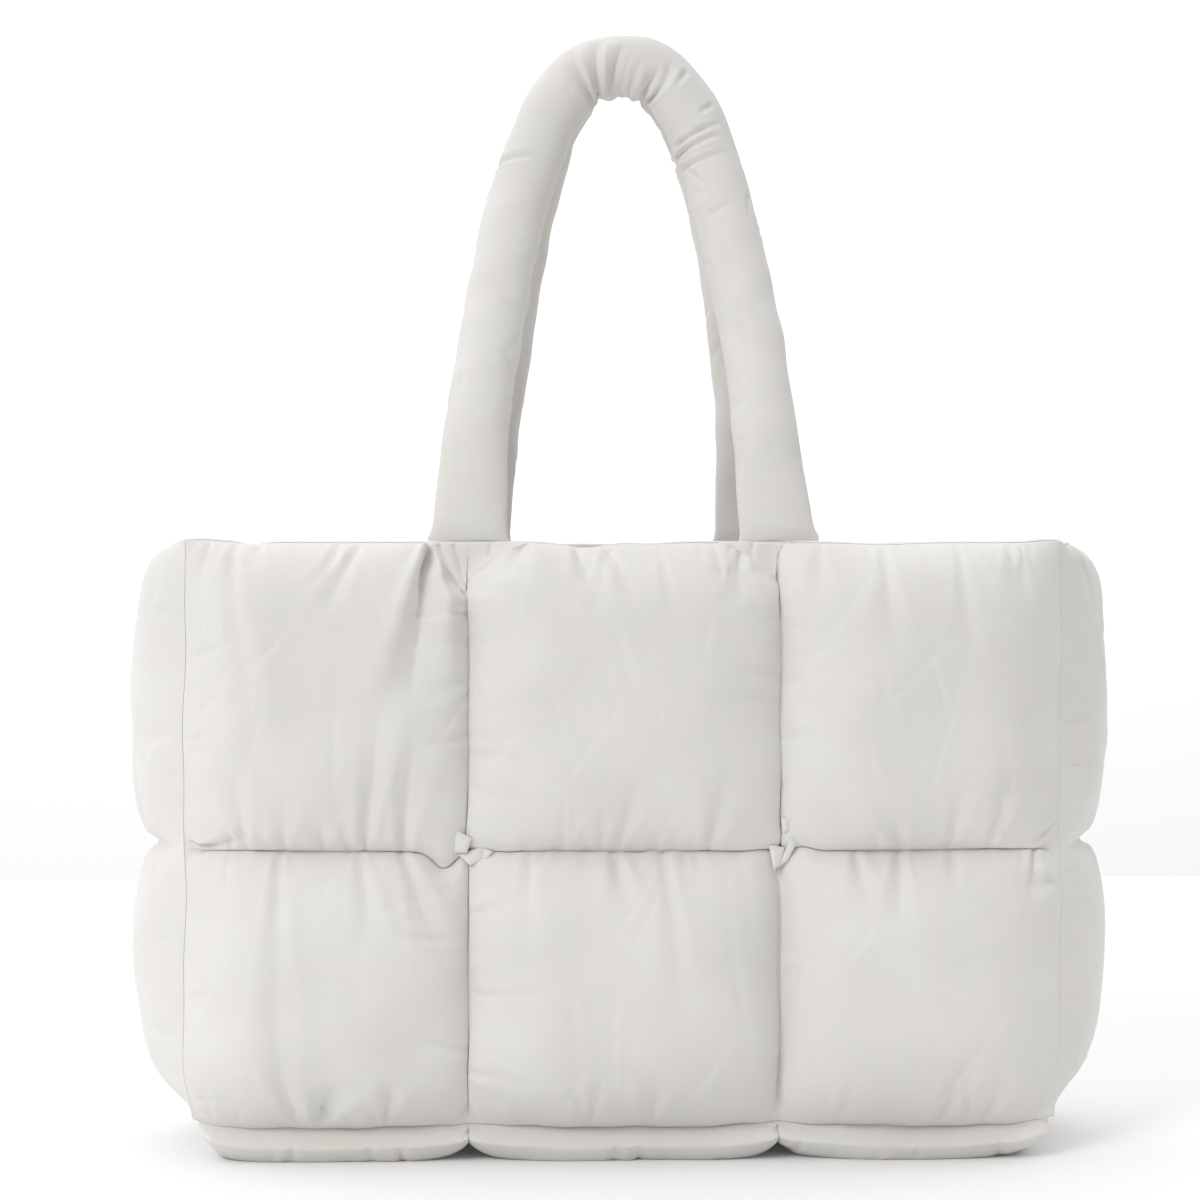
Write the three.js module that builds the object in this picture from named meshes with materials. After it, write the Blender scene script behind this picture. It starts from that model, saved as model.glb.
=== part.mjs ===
// A puffer tote bag: quilted front, back, side and bottom panels sewn into a box that is open at the top,
// with a padded handle on the front rim and another on the back rim.
// Millimetres, +Z up, the front faces -Y, and the origin is on the floor under the middle of the bag.
import * as THREE from "three";

// Quilted chambers, measured from seam to seam
const sideChamberWidth = 132;
const middleChamberWidth = 144;
const upperChamberHeight = 143;
const lowerChamberHeight = 127;
const gussetDepth = 130;

// Padding: how far a full chamber stands out of its seams
const facePuff = 29;
const gussetPuff = 13;
const bottomPuff = 24;
const bottomSeamHeight = 18; // the floor presses the bottom chambers flat at this depth
const liningPuff = 7; // how far a chamber swells into the bag
const faceBow = 5; // the front and back seams belly out by this much at the middle of the panel
const gussetBow = 19;
const gussetRimBow = 11; // how far the open rim of each gusset stands out

// Sewing
const seamThickness = 4; // cloth, pressed padding and lining at a seam
const panelGap = 0.3;
const tuckHeight = 9; // the bunched cloth where four chambers meet
const tuckReach = 8;

// Handles
const handleRise = 230; // from the rim to the middle of the tube at the top of the arch
const handleWidth = 29;
const handleThickness = 27;
const handleFootWidth = 35;
const handleFootThickness = 9;
const handleFootHeight = 70; // the tube is fully round this far above the rim
const handlesApart = 3; // clear space between the two arches at the top

// Mesh fineness
const outerCells = 14; // in each chamber, each way
const liningCells = 4;
const cellCrowding = 0.5; // how much closer the cells lie beside a seam
const handleRings = 54;
const handleSides = 12;
const ringCrowding = 0.5; // how much closer the rings lie at the top of the arch

// How the padding swells away from each kind of seam: shoulder is the distance at which it is full,
// and a low power makes it rise steeply.
const creaseSeam = { shoulder: 46, power: 0.5 };
const cornerSeam = { shoulder: 45, power: 1 };
const gussetSeam = { shoulder: 46, power: 1 };
const baseEdgeSeam = { shoulder: 30, power: 0.5 }; // along the front and the back of the bottom
const rimSeam = { shoulder: 36, power: 0.5 };
const liningSeam = { shoulder: 60, power: 1 };

// Folds that run from a seam into a chamber. at, slant and width are shares of the chamber's size along
// the seam, reach is a share of its size away from the seam, and depth is a share of the puff.
const faceFolds = [
  { column: 0, row: 1, from: "top", at: 0.58, slant: -0.25, reach: 0.3, width: 0.07, depth: 0.28 },
  { column: 0, row: 1, from: "top", at: 0.87, slant: -0.3, reach: 0.45, width: 0.09, depth: 0.5 },
  { column: 0, row: 1, from: "bottom", at: 0.3, slant: 0.1, reach: 0.3, width: 0.07, depth: 0.25 },
  { column: 0, row: 1, from: "bottom", at: 0.66, slant: 0.05, reach: 0.45, width: 0.08, depth: 0.3 },
  { column: 1, row: 1, from: "top", at: 0.15, slant: -0.2, reach: 0.25, width: 0.07, depth: 0.3 },
  { column: 1, row: 1, from: "top", at: 0.38, slant: 0.2, reach: 0.28, width: 0.08, depth: 0.4 },
  { column: 1, row: 1, from: "top", at: 0.85, slant: 0.15, reach: 0.3, width: 0.07, depth: 0.3 },
  { column: 1, row: 1, from: "bottom", at: 0.48, slant: 0.15, reach: 0.3, width: 0.07, depth: 0.2 },
  { column: 2, row: 1, from: "top", at: 0.36, slant: 0.1, reach: 0.4, width: 0.07, depth: 0.28 },
  { column: 2, row: 1, from: "top", at: 0.63, slant: 0.05, reach: 0.4, width: 0.07, depth: 0.2 },
  { column: 2, row: 1, from: "bottom", at: 0.42, slant: -0.3, reach: 0.25, width: 0.07, depth: 0.22 },
  { column: 0, row: 0, from: "top", at: 0.4, slant: 0.05, reach: 0.35, width: 0.08, depth: 0.25 },
  { column: 0, row: 0, from: "top", at: 0.75, slant: 0.3, reach: 0.45, width: 0.07, depth: 0.3 },
  { column: 0, row: 0, from: "bottom", at: 0.5, slant: -0.2, reach: 0.5, width: 0.08, depth: 0.4 },
  { column: 0, row: 0, from: "bottom", at: 0.73, slant: 0.15, reach: 0.3, width: 0.07, depth: 0.28 },
  { column: 1, row: 0, from: "top", at: 0.46, slant: 0.2, reach: 0.35, width: 0.07, depth: 0.28 },
  { column: 1, row: 0, from: "bottom", at: 0.56, slant: 0.1, reach: 0.25, width: 0.07, depth: 0.2 },
  { column: 2, row: 0, from: "top", at: 0.4, slant: -0.1, reach: 0.3, width: 0.07, depth: 0.3 },
  { column: 2, row: 0, from: "bottom", at: 0.58, slant: 0.3, reach: 0.25, width: 0.07, depth: 0.28 },
];
const gussetFolds = [
  { column: 0, row: 1, from: "top", at: 0.35, slant: 0.15, reach: 0.35, width: 0.08, depth: 0.3 },
  { column: 0, row: 1, from: "bottom", at: 0.6, slant: -0.1, reach: 0.35, width: 0.08, depth: 0.28 },
  { column: 0, row: 0, from: "top", at: 0.45, slant: 0.1, reach: 0.3, width: 0.08, depth: 0.28 },
  { column: 0, row: 0, from: "bottom", at: 0.65, slant: -0.15, reach: 0.35, width: 0.08, depth: 0.3 },
];

// The handle's route over one leg: shares of its rise, of its half span at the rim, and of its lean
// from the rim to the middle of the bag.
const handleRoute = [
  { rise: 0, spread: 1, lean: 0 },
  { rise: 0.09, spread: 0.975, lean: 0.03 },
  { rise: 0.2, spread: 0.94, lean: 0.12 },
  { rise: 0.3, spread: 0.9, lean: 0.24 },
  { rise: 0.4, spread: 0.86, lean: 0.38 },
  { rise: 0.51, spread: 0.8, lean: 0.54 },
  { rise: 0.61, spread: 0.735, lean: 0.68 },
  { rise: 0.72, spread: 0.655, lean: 0.82 },
  { rise: 0.82, spread: 0.56, lean: 0.92 },
  { rise: 0.91, spread: 0.445, lean: 0.98 },
  { rise: 0.975, spread: 0.3, lean: 1 },
];
const handleTop = { rise: 1, spread: 0, lean: 1 };

// Creases across the padded tube. at and width are shares of its length, and depth is a share of half
// its width. A crease with inside set only dents the side that faces the loop.
const handleCreases = [
  { at: 0.335, width: 0.007, depth: 0.1, inside: false },
  { at: 0.452, width: 0.008, depth: 0.24, inside: true },
  { at: 0.481, width: 0.008, depth: 0.2, inside: true },
  { at: 0.512, width: 0.008, depth: 0.2, inside: true },
  { at: 0.548, width: 0.008, depth: 0.26, inside: true },
  { at: 0.638, width: 0.007, depth: 0.12, inside: false },
  { at: 0.662, width: 0.007, depth: 0.12, inside: false },
];

// Sizes that follow
const faceWidth = 2 * sideChamberWidth + middleChamberWidth;
const panelHeight = upperChamberHeight + lowerChamberHeight;
const rimHeight = bottomSeamHeight + panelHeight;
const mitre = panelGap / Math.SQRT2; // each panel's share of the gap along a 45 degree corner

const quiltedCotton = new THREE.MeshStandardMaterial({ color: 0xe6e4df, roughness: 0.85, metalness: 0 });
const handleCotton = new THREE.MeshStandardMaterial({ color: 0xe3e1dc, roughness: 0.85, metalness: 0 });

// Swell of the padding at a distance from a seam: 0 on the seam, 1 past its shoulder
function swell(distance, seam) {
  const share = THREE.MathUtils.clamp(distance / seam.shoulder, 0, 1);
  return Math.pow(1 - (1 - share) ** 2, seam.power);
}

// Grid lines over a row of chambers, closer together beside the seams
function gridLines(seams, cells, crowding) {
  const lines = [];
  for (let chamber = 0; chamber + 1 < seams.length; chamber++) {
    for (let cell = 0; cell < cells; cell++) {
      const even = cell / cells;
      const share = even - (crowding * Math.sin(2 * Math.PI * even)) / (2 * Math.PI);
      lines.push(THREE.MathUtils.lerp(seams[chamber], seams[chamber + 1], share));
    }
  }
  lines.push(seams[seams.length - 1]);
  return lines;
}

// The chamber that holds a position, with the distances to its two seams
function chamberAt(seams, position) {
  let index = 0;
  while (index + 2 < seams.length && position > seams[index + 1]) index++;
  const low = seams[index];
  const high = seams[index + 1];
  return { index, below: position - low, above: high - position, size: high - low };
}

// What a fold leaves of the puff at one point of its chamber
function foldFactor(fold, across, up) {
  const fromTop = fold.from === "top";
  const away = (fromTop ? up.above : up.below) / up.size;
  const along = across.below / across.size;
  if (away >= fold.reach) return 1;
  const offCentre = (along - fold.at - fold.slant * away) / fold.width;
  const fade = 1 - (away / fold.reach) ** 2;
  return 1 - fold.depth * fade * Math.exp(-offCentre * offCentre);
}

// The bunched cloth at each crossing of two inner seams
function tuckAt(panel, x, y) {
  let height = 0;
  for (const seamX of panel.columns.slice(1, -1)) {
    for (const seamY of panel.rows.slice(1, -1)) {
      const distance = Math.hypot(x - seamX, y - seamY) / tuckReach;
      height = Math.max(height, tuckHeight * Math.exp(-distance * distance));
    }
  }
  return height;
}

// 0 on the first and the last seam, and 1 halfway between them
function arch(seams, position) {
  const share = THREE.MathUtils.inverseLerp(seams[0], seams.at(-1), position);
  return 4 * share * (1 - share);
}

// How far the whole panel bellies out at a point
function bowAt(panel, x, y) {
  const halfway = (panel.rows[0] + panel.rows.at(-1)) / 2;
  const edgeBow = y > halfway ? panel.rimBow : 0;
  const up = Math.sqrt(arch(panel.rows, y));
  return arch(panel.columns, x) * THREE.MathUtils.lerp(edgeBow, panel.bow, up);
}

// Height of the padding over the seams at a point, for the outer cloth
function puffAt(panel, x, y) {
  const across = chamberAt(panel.columns, x);
  const up = chamberAt(panel.rows, y);
  const leftSeam = across.index === 0 ? cornerSeam : creaseSeam;
  const rightSeam = across.index === panel.columns.length - 2 ? cornerSeam : creaseSeam;
  const lowSeam = up.index === 0 ? panel.lowSeam : panel.crossSeam;
  const highSeam = up.index === panel.rows.length - 2 ? panel.topSeam : panel.crossSeam;
  let height = panel.puff;
  height *= swell(across.below, leftSeam) * swell(across.above, rightSeam);
  height *= swell(up.below, lowSeam) * swell(up.above, highSeam);
  for (const fold of panel.folds) {
    if (fold.column === across.index && fold.row === up.index) height *= foldFactor(fold, across, up);
  }
  return Math.min(Math.max(height, tuckAt(panel, x, y)), panel.flatAt);
}

// Height of the padding on the lining's side, which starts beyond the mitre of a corner seam
function liningAt(panel, x, y) {
  const across = chamberAt(panel.columns, x);
  const up = chamberAt(panel.rows, y);
  const swellFrom = (distance) => swell(distance - mitre - seamThickness, liningSeam);
  const sideways = swellFrom(across.below) * swellFrom(across.above);
  return liningPuff * sideways * swellFrom(up.below) * swellFrom(up.above);
}

// Joins two rows of points, which run the same way and may differ in number, with triangles
function zip(faces, rowA, rowB) {
  let a = 0;
  let b = 0;
  while (a + 1 < rowA.length || b + 1 < rowB.length) {
    const nextA = (a + 1) / (rowA.length - 1);
    const nextB = (b + 1) / (rowB.length - 1);
    if (b + 1 >= rowB.length || (a + 1 < rowA.length && nextA <= nextB)) {
      faces.push(rowA[a], rowA[a + 1], rowB[b]);
      a++;
    } else {
      faces.push(rowA[a], rowB[b + 1], rowB[b]);
      b++;
    }
  }
}

// One grid of points, with the rows of indices along its four sides
function addGrid(points, faces, xs, ys, heightAt, facingOut) {
  const first = points.length / 3;
  const index = (column, row) => first + row * xs.length + column;
  for (const y of ys) {
    for (const x of xs) points.push(x, y, heightAt(x, y));
  }
  for (let row = 0; row + 1 < ys.length; row++) {
    for (let column = 0; column + 1 < xs.length; column++) {
      const corners = [
        index(column, row),
        index(column + 1, row),
        index(column + 1, row + 1),
        index(column, row + 1),
      ];
      if (!facingOut) corners.reverse();
      faces.push(corners[0], corners[1], corners[2], corners[0], corners[2], corners[3]);
    }
  }
  const acrossRow = (row) => xs.map((_, column) => index(column, row));
  const upColumn = (column) => ys.map((_, row) => index(column, row));
  return {
    low: acrossRow(0),
    high: acrossRow(ys.length - 1),
    left: upColumn(0),
    right: upColumn(xs.length - 1),
  };
}

function closedGeometry(points, faces) {
  const geometry = new THREE.BufferGeometry();
  geometry.setAttribute("position", new THREE.Float32BufferAttribute(points, 3));
  geometry.setIndex(faces);
  geometry.computeVertexNormals();
  return geometry;
}

// Moves the outer lines of a set inwards, for a mitred corner
function inset(lines, atStart, atEnd) {
  const moved = [...lines];
  moved[0] += atStart;
  moved[moved.length - 1] -= atEnd;
  return moved;
}

// A quilted panel lying in its own XY plane, with the outer cloth towards +Z. Its sides and its low edge
// are mitred at 45 degrees to meet the next panel, and so is its high edge if mitredTop is set.
function quiltedPanel(panel) {
  const points = [];
  const faces = [];
  const topMitre = panel.mitredTop ? mitre : 0;
  const topInset = panel.mitredTop ? mitre + seamThickness : 0;
  const sideInset = mitre + seamThickness;
  const outer = addGrid(
    points,
    faces,
    inset(gridLines(panel.columns, outerCells, cellCrowding), mitre, mitre),
    inset(gridLines(panel.rows, outerCells, cellCrowding), mitre, topMitre),
    (x, y) => bowAt(panel, x, y) + puffAt(panel, x, y),
    true,
  );
  const lining = addGrid(
    points,
    faces,
    inset(gridLines(panel.columns, liningCells, 0), sideInset, sideInset),
    inset(gridLines(panel.rows, liningCells, 0), sideInset, topInset),
    (x, y) => bowAt(panel, x, y) - seamThickness - liningAt(panel, x, y),
    false,
  );
  zip(faces, lining.low, outer.low);
  zip(faces, outer.high, lining.high);
  zip(faces, outer.left, lining.left);
  zip(faces, lining.right, outer.right);
  return closedGeometry(points, faces);
}

function panelMesh(name, panel) {
  const mesh = new THREE.Mesh(quiltedPanel(panel), quiltedCotton);
  mesh.name = name;
  return mesh;
}

const faceColumns = [
  -faceWidth / 2,
  -middleChamberWidth / 2,
  middleChamberWidth / 2,
  faceWidth / 2,
];
const heightRows = [0, lowerChamberHeight, panelHeight];
const depthSeams = [-gussetDepth / 2, gussetDepth / 2];

const facePanel = {
  columns: faceColumns,
  rows: heightRows,
  puff: facePuff,
  bow: faceBow,
  rimBow: 0,
  folds: faceFolds,
  crossSeam: creaseSeam,
  lowSeam: cornerSeam,
  topSeam: rimSeam,
  mitredTop: false,
  flatAt: Infinity,
};
const gussetPanel = {
  ...facePanel,
  columns: depthSeams,
  puff: gussetPuff,
  bow: gussetBow,
  rimBow: gussetRimBow,
  folds: gussetFolds,
  crossSeam: gussetSeam,
};
const bottomPanel = {
  columns: faceColumns,
  rows: depthSeams,
  puff: bottomPuff,
  bow: 0,
  rimBow: 0,
  folds: [],
  crossSeam: creaseSeam,
  lowSeam: baseEdgeSeam,
  topSeam: baseEdgeSeam,
  mitredTop: true,
  flatAt: bottomSeamHeight,
};

// A wall panel stands on the bottom seam and faces outwards at an angle round the bag
function wall(name, panel, turn, distance) {
  const mesh = panelMesh(name, panel);
  mesh.rotation.x = Math.PI / 2;
  mesh.position.set(0, -distance, bottomSeamHeight);
  const turned = new THREE.Group();
  turned.rotation.z = turn;
  turned.add(mesh);
  return turned;
}

function bottom() {
  const mesh = panelMesh("bottom_panel", bottomPanel);
  mesh.rotation.x = Math.PI;
  mesh.position.z = bottomSeamHeight;
  return mesh;
}

// Middle line of a handle, from the foot on the left to the foot on the right
function handleCurve() {
  const halfSpan = middleChamberWidth / 2;
  const rimDepth = gussetDepth / 2 - seamThickness / 2;
  const topDepth = (handleThickness + handlesApart) / 2;
  const place = ({ rise, spread, lean }, side) =>
    new THREE.Vector3(
      side * spread * halfSpan,
      -THREE.MathUtils.lerp(rimDepth, topDepth, lean),
      rimHeight + panelGap + rise * handleRise,
    );
  const left = handleRoute.map((station) => place(station, -1));
  const right = handleRoute.map((station) => place(station, 1)).reverse();
  return new THREE.CatmullRomCurve3([...left, place(handleTop, 1), ...right], false, "centripetal");
}

// What the creases leave of the tube's half width, at a share of its length and on one side of it
function creaseFactor(share, facingLoop) {
  let factor = 1;
  for (const crease of handleCreases) {
    const off = (share - crease.at) / crease.width;
    const side = crease.inside ? Math.max(facingLoop, 0) : 1;
    factor -= crease.depth * side * Math.exp(-off * off);
  }
  return factor;
}

// A padded tube along the handle's route, flat where its two feet are sewn to the rim
function handleGeometry() {
  const curve = handleCurve();
  const length = curve.getLength();
  const points = [];
  const faces = [];
  const backwards = new THREE.Vector3(0, 1, 0);
  for (let ring = 0; ring <= handleRings; ring++) {
    const even = ring / handleRings;
    const share = even + (ringCrowding * Math.sin(2 * Math.PI * even)) / (2 * Math.PI);
    const centre = curve.getPointAt(share);
    const along = curve.getTangentAt(share);
    const depthAxis = backwards.clone().addScaledVector(along, -along.y).normalize();
    const widthAxis = new THREE.Vector3().crossVectors(depthAxis, along);
    const fromFoot = Math.min(share, 1 - share) * length;
    const round = THREE.MathUtils.smoothstep(fromFoot, 0, handleFootHeight);
    const halfWidth = THREE.MathUtils.lerp(handleFootWidth, handleWidth, round) / 2;
    const halfThickness = THREE.MathUtils.lerp(handleFootThickness, handleThickness, round) / 2;
    const isFoot = ring === 0 || ring === handleRings;
    for (let side = 0; side < handleSides; side++) {
      const angle = (2 * Math.PI * side) / handleSides;
      const factor = creaseFactor(share, Math.cos(angle));
      const point = centre.clone();
      point.addScaledVector(widthAxis, halfWidth * factor * Math.cos(angle));
      point.addScaledVector(depthAxis, halfThickness * factor * Math.sin(angle));
      if (isFoot) point.z = rimHeight + panelGap;
      points.push(point.x, point.y, point.z);
    }
  }
  const index = (ring, side) => ring * handleSides + (side % handleSides);
  for (let ring = 0; ring < handleRings; ring++) {
    for (let side = 0; side < handleSides; side++) {
      const [a, b] = [index(ring, side), index(ring, side + 1)];
      const [c, d] = [index(ring + 1, side + 1), index(ring + 1, side)];
      faces.push(a, b, c, a, c, d);
    }
  }
  for (let side = 1; side + 1 < handleSides; side++) {
    faces.push(index(0, 0), index(0, side + 1), index(0, side));
    faces.push(index(handleRings, 0), index(handleRings, side), index(handleRings, side + 1));
  }
  return closedGeometry(points, faces);
}

function handle(name, turn) {
  const mesh = new THREE.Mesh(handleGeometry(), handleCotton);
  mesh.name = name;
  mesh.rotation.z = turn;
  return mesh;
}

const bag = new THREE.Group();
bag.add(
  wall("front_panel", facePanel, 0, gussetDepth / 2),
  wall("back_panel", facePanel, Math.PI, gussetDepth / 2),
  wall("left_gusset", gussetPanel, -Math.PI / 2, faceWidth / 2),
  wall("right_gusset", gussetPanel, Math.PI / 2, faceWidth / 2),
  bottom(),
  handle("front_handle", 0),
  handle("back_handle", Math.PI),
);

export default bag;
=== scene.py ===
import math

import bpy
import numpy as np
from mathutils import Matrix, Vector


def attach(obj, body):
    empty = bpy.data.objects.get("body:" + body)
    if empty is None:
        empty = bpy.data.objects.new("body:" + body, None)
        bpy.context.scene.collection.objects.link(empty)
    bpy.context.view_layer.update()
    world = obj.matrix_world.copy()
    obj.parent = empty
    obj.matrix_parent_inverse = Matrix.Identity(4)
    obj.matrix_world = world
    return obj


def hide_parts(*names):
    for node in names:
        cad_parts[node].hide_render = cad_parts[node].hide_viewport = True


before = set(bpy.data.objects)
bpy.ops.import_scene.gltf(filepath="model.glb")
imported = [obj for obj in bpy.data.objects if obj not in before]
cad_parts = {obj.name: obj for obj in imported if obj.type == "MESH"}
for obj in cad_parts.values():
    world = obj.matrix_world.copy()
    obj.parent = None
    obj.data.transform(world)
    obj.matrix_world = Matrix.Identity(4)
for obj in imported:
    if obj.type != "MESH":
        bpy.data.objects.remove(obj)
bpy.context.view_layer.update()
print("1: the packed bag is loaded")

# metres; the squares are measured from seam to seam
bag = {
    "sideSquare": 0.132,
    "middleSquare": 0.144,
    "upperSquare": 0.143,
    "lowerSquare": 0.127,
    "depth": 0.130,
    "baseSeam": 0.018,    # height of the seam round the base
    "sewn": 0.004,        # thickness of a seam
    "gap": 0.00015,       # between two panels
    "tightGap": 0.00002,  # where the seam is pulled in and hardly shows
}
faceWidth = 2 * bag["sideSquare"] + bag["middleSquare"]
wallHeight = bag["upperSquare"] + bag["lowerSquare"]
rimHeight = bag["baseSeam"] + wallHeight
columnSeam = bag["middleSquare"] / 2    # the two seams down the front, where the handles stand
faceColumns = [-faceWidth / 2, -columnSeam, columnSeam, faceWidth / 2]
depthSeams = [-bag["depth"] / 2, bag["depth"] / 2]
wallRows = [0, bag["lowerSquare"], wallHeight]
mitre = bag["gap"] / math.sqrt(2)
tightMitre = bag["tightGap"] / math.sqrt(2)

# how the padding swells away from a seam; a low power rises steeply
seamKinds = {
    "quilted": {"shoulder": 0.046, "power": 0.5},
    "gusset": {"shoulder": 0.046, "power": 0.9},
    "corner": {"shoulder": 0.045, "power": 1},
    "base": {"shoulder": 0.030, "power": 0.5},
    "rim": {"shoulder": 0.036, "power": 0.5},
    "lining": {"shoulder": 0.060, "power": 1},
    "foot": {"shoulder": 0.024, "power": 0.8},
}


# the cloth, its wear and its weave, which makeCotton mixes
cotton = {
    "colour": (0.776, 0.763, 0.734),
    "shade": (0.746, 0.733, 0.690),
    "rosyShade": (0.762, 0.740, 0.719),
    "roughness": 0.86,
    "sheen": 0.25,
    "glow": 0.25,         # how much light sinks into the cloth
    "glowDepth": 0.0025,
    "wear": 0.06,
    "patches": {"Scale": 18, "Detail": 3},
    "yarnStretch": [(2400, 260, 1), (260, 2400, 1)],
    "yarn": {"Scale": 1, "Detail": 1},
    "rumple": {"Scale": 90, "Detail": 3, "Roughness": 0.6},                      # soft, as washed cotton has
    "crush": {"Scale": 26, "Detail": 3, "Roughness": 0.5, "Distortion": 0.6},    # fine creases
    "weaveBump": {"Strength": 0.35, "Distance": 0.0002},
    "rumpleBump": {"Strength": 0.5, "Distance": 0.0006},
    "crushBump": {"Strength": 0.4, "Distance": 0.0008},
}


def setSockets(node, values):
    for name, value in values.items():
        node.inputs[name].default_value = value


def addNode(tree, kind, sockets=None, **settings):
    node = tree.nodes.new(kind)
    for name, value in settings.items():
        setattr(node, name, value)
    setSockets(node, sockets or {})
    return node


def makeCotton(name):
    cloth = bpy.data.materials.new(name)
    cloth.use_nodes = True
    tree = cloth.node_tree
    link = tree.links.new
    shader = tree.nodes["Principled BSDF"]
    setSockets(shader, {
        "Sheen Weight": cotton["sheen"],
        "Sheen Roughness": 0.5,
        "Specular IOR Level": 0.25,
        "Subsurface Weight": cotton["glow"],
        "Subsurface Radius": (1.0, 0.9, 0.75),
        "Subsurface Scale": cotton["glowDepth"],
    })
    thread = addNode(tree, "ShaderNodeUVMap", uv_map="cloth").outputs["UV"]

    def noise(sockets, vector=thread, **settings):
        node = addNode(tree, "ShaderNodeTexNoise", sockets, **settings)
        link(vector, node.inputs["Vector"])
        return node.outputs["Fac"]

    def bump(height, under, sockets):
        node = addNode(tree, "ShaderNodeBump", sockets)
        link(height, node.inputs["Height"])
        if under:
            link(under, node.inputs["Normal"])
        return node.outputs["Normal"]

    # uneven dye: soft patches, a few centimetres wide
    tint = addNode(tree, "ShaderNodeValToRGB")
    dark, light = tint.color_ramp.elements
    dark.position, dark.color = 0.36, (*cotton["shade"], 1)
    light.position, light.color = 0.64, (*cotton["colour"], 1)
    tint.color_ramp.elements.new(0.5).color = (*cotton["rosyShade"], 1)
    link(noise(cotton["patches"]), tint.inputs["Fac"])
    link(tint.outputs["Color"], shader.inputs["Base Color"])

    # warp and weft threads, each a stretched noise
    weave = addNode(tree, "ShaderNodeMath", operation="MAXIMUM")
    for place, stretch in enumerate(cotton["yarnStretch"]):
        along = addNode(tree, "ShaderNodeMapping", {"Scale": stretch})
        link(thread, along.inputs["Vector"])
        link(noise(cotton["yarn"], along.outputs["Vector"]), weave.inputs[place])
    rumple = noise(cotton["rumple"])
    crush = noise(cotton["crush"], noise_type="RIDGED_MULTIFRACTAL")
    relief = bump(weave.outputs["Value"], None, cotton["weaveBump"])
    relief = bump(rumple, relief, cotton["rumpleBump"])
    relief = bump(crush, relief, cotton["crushBump"])
    link(relief, shader.inputs["Normal"])

    worn = addNode(tree, "ShaderNodeMapRange", {
        "To Min": cotton["roughness"] - cotton["wear"],
        "To Max": cotton["roughness"] + cotton["wear"],
    })
    link(rumple, worn.inputs["Value"])
    link(worn.outputs["Result"], shader.inputs["Roughness"])
    return cloth


quiltedCotton = makeCotton("quilted_cotton")
handleCotton = makeCotton("handle_cotton")
print("2: the cotton is mixed")


simulatedCells = 48    # in each square, each way, while the cloth moves
liningCells = 12
seamCrowding = 0.8     # how much the grid lines bunch up beside a seam


def swell(distance, kind):
    share = np.clip(distance / seamKinds[kind]["shoulder"], 0, 1)
    return (1 - (1 - share) ** 2) ** seamKinds[kind]["power"]


def smooth(low, high, value):
    share = np.clip((value - low) / (high - low), 0, 1)
    return share * share * (3 - 2 * share)


def gridLines(seams, cells, crowding=seamCrowding):
    lines = []
    for low, high in zip(seams[:-1], seams[1:]):
        even = np.arange(cells) / cells
        bunched = (1 - np.cos(np.pi * even)) / 2
        lines.append(low + (high - low) * (even + crowding * (bunched - even)))
    return np.append(np.concatenate(lines), seams[-1])


def insetLines(lines, atStart, atEnd):
    moved = lines.copy()
    moved[0] += atStart
    moved[-1] -= atEnd
    return moved


def gridFaces(index, outwards):
    quads = np.stack([index[:-1, :-1], index[:-1, 1:], index[1:, 1:], index[1:, :-1]], axis=-1).reshape(-1, 4)
    return [tuple(face) for face in (quads if outwards else quads[:, ::-1]).tolist()]


def squareOf(seams, places):
    # which square each place is in, and how far it is from that square's two seams
    which = np.clip(np.searchsorted(seams, places, side="right") - 1, 0, len(seams) - 2)
    low = np.array(seams)[which]
    high = np.array(seams)[which + 1]
    return which, places - low, high - places, high - low


def archOver(seams, places):
    share = np.clip((places - seams[0]) / (seams[-1] - seams[0]), 0, 1)
    return 4 * share * (1 - share)


def bowOf(panel, across, up):
    rows = panel["rows"]
    edge = np.where(up > (rows[0] + rows[-1]) / 2, panel["rimBow"], 0)
    rise = np.sqrt(archOver(rows, up))
    return archOver(panel["columns"], across) * (edge + (panel["bow"] - edge) * rise)


footCloth = {"overlap": 0.001, "lift": 0.0022, "softBelow": 0.045, "softness": 60}


def footPatch(panel, across, up):
    # the flat gathered cloth under each foot of a handle, widest at the rim
    reach = np.zeros(across.shape)
    for foot in panel["feet"]:
        drop = np.clip((panel["rows"][-1] - up) / foot["drop"], 0, 1)
        beside = (across - foot["at"]) * foot["side"]
        near = (beside > 0) & (beside < bag["sideSquare"] / 2)
        reach = np.where(near, foot["half"] * (1 - drop) ** foot["taper"], reach)
    return reach


def footLift(panel, across, up):
    # the cloth under a foot lies a little proud
    lift = np.zeros(across.shape)
    for foot in panel["feet"]:
        below = (panel["rows"][-1] - up) / foot["drop"]
        beyond = (across - foot["at"]) * foot["side"]
        edge = foot["half"] * (1 - np.clip(below, 0, 1)) ** foot["taper"] + footCloth["overlap"]
        beside = (beyond > -footCloth["overlap"]) & (beyond < edge)
        lift = np.maximum(lift, np.where(beside, footCloth["lift"] * smooth(1.0, 0.7, below), 0))
    return lift


def footGathers(panel, across, up):
    # valleys in the gathered cloth under the feet
    depth = np.zeros(across.shape)
    for gather in panel["gathers"]:
        (x1, y1), (x2, y2) = gather["from"], gather["to"]
        down = panel["rows"][-1] - up - y1
        reach = (across - x1) * (x2 - x1) + down * (y2 - y1)
        share = np.clip(reach / ((x2 - x1) ** 2 + (y2 - y1) ** 2), 0, 1)
        away = np.hypot(across - x1 - share * (x2 - x1), down - share * (y2 - y1))
        fade = smooth(0, 0.35, 1 - share)
        depth += gather["depth"] * fade * np.exp(-(away / gather["width"]) ** 1.3)
    return depth


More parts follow.
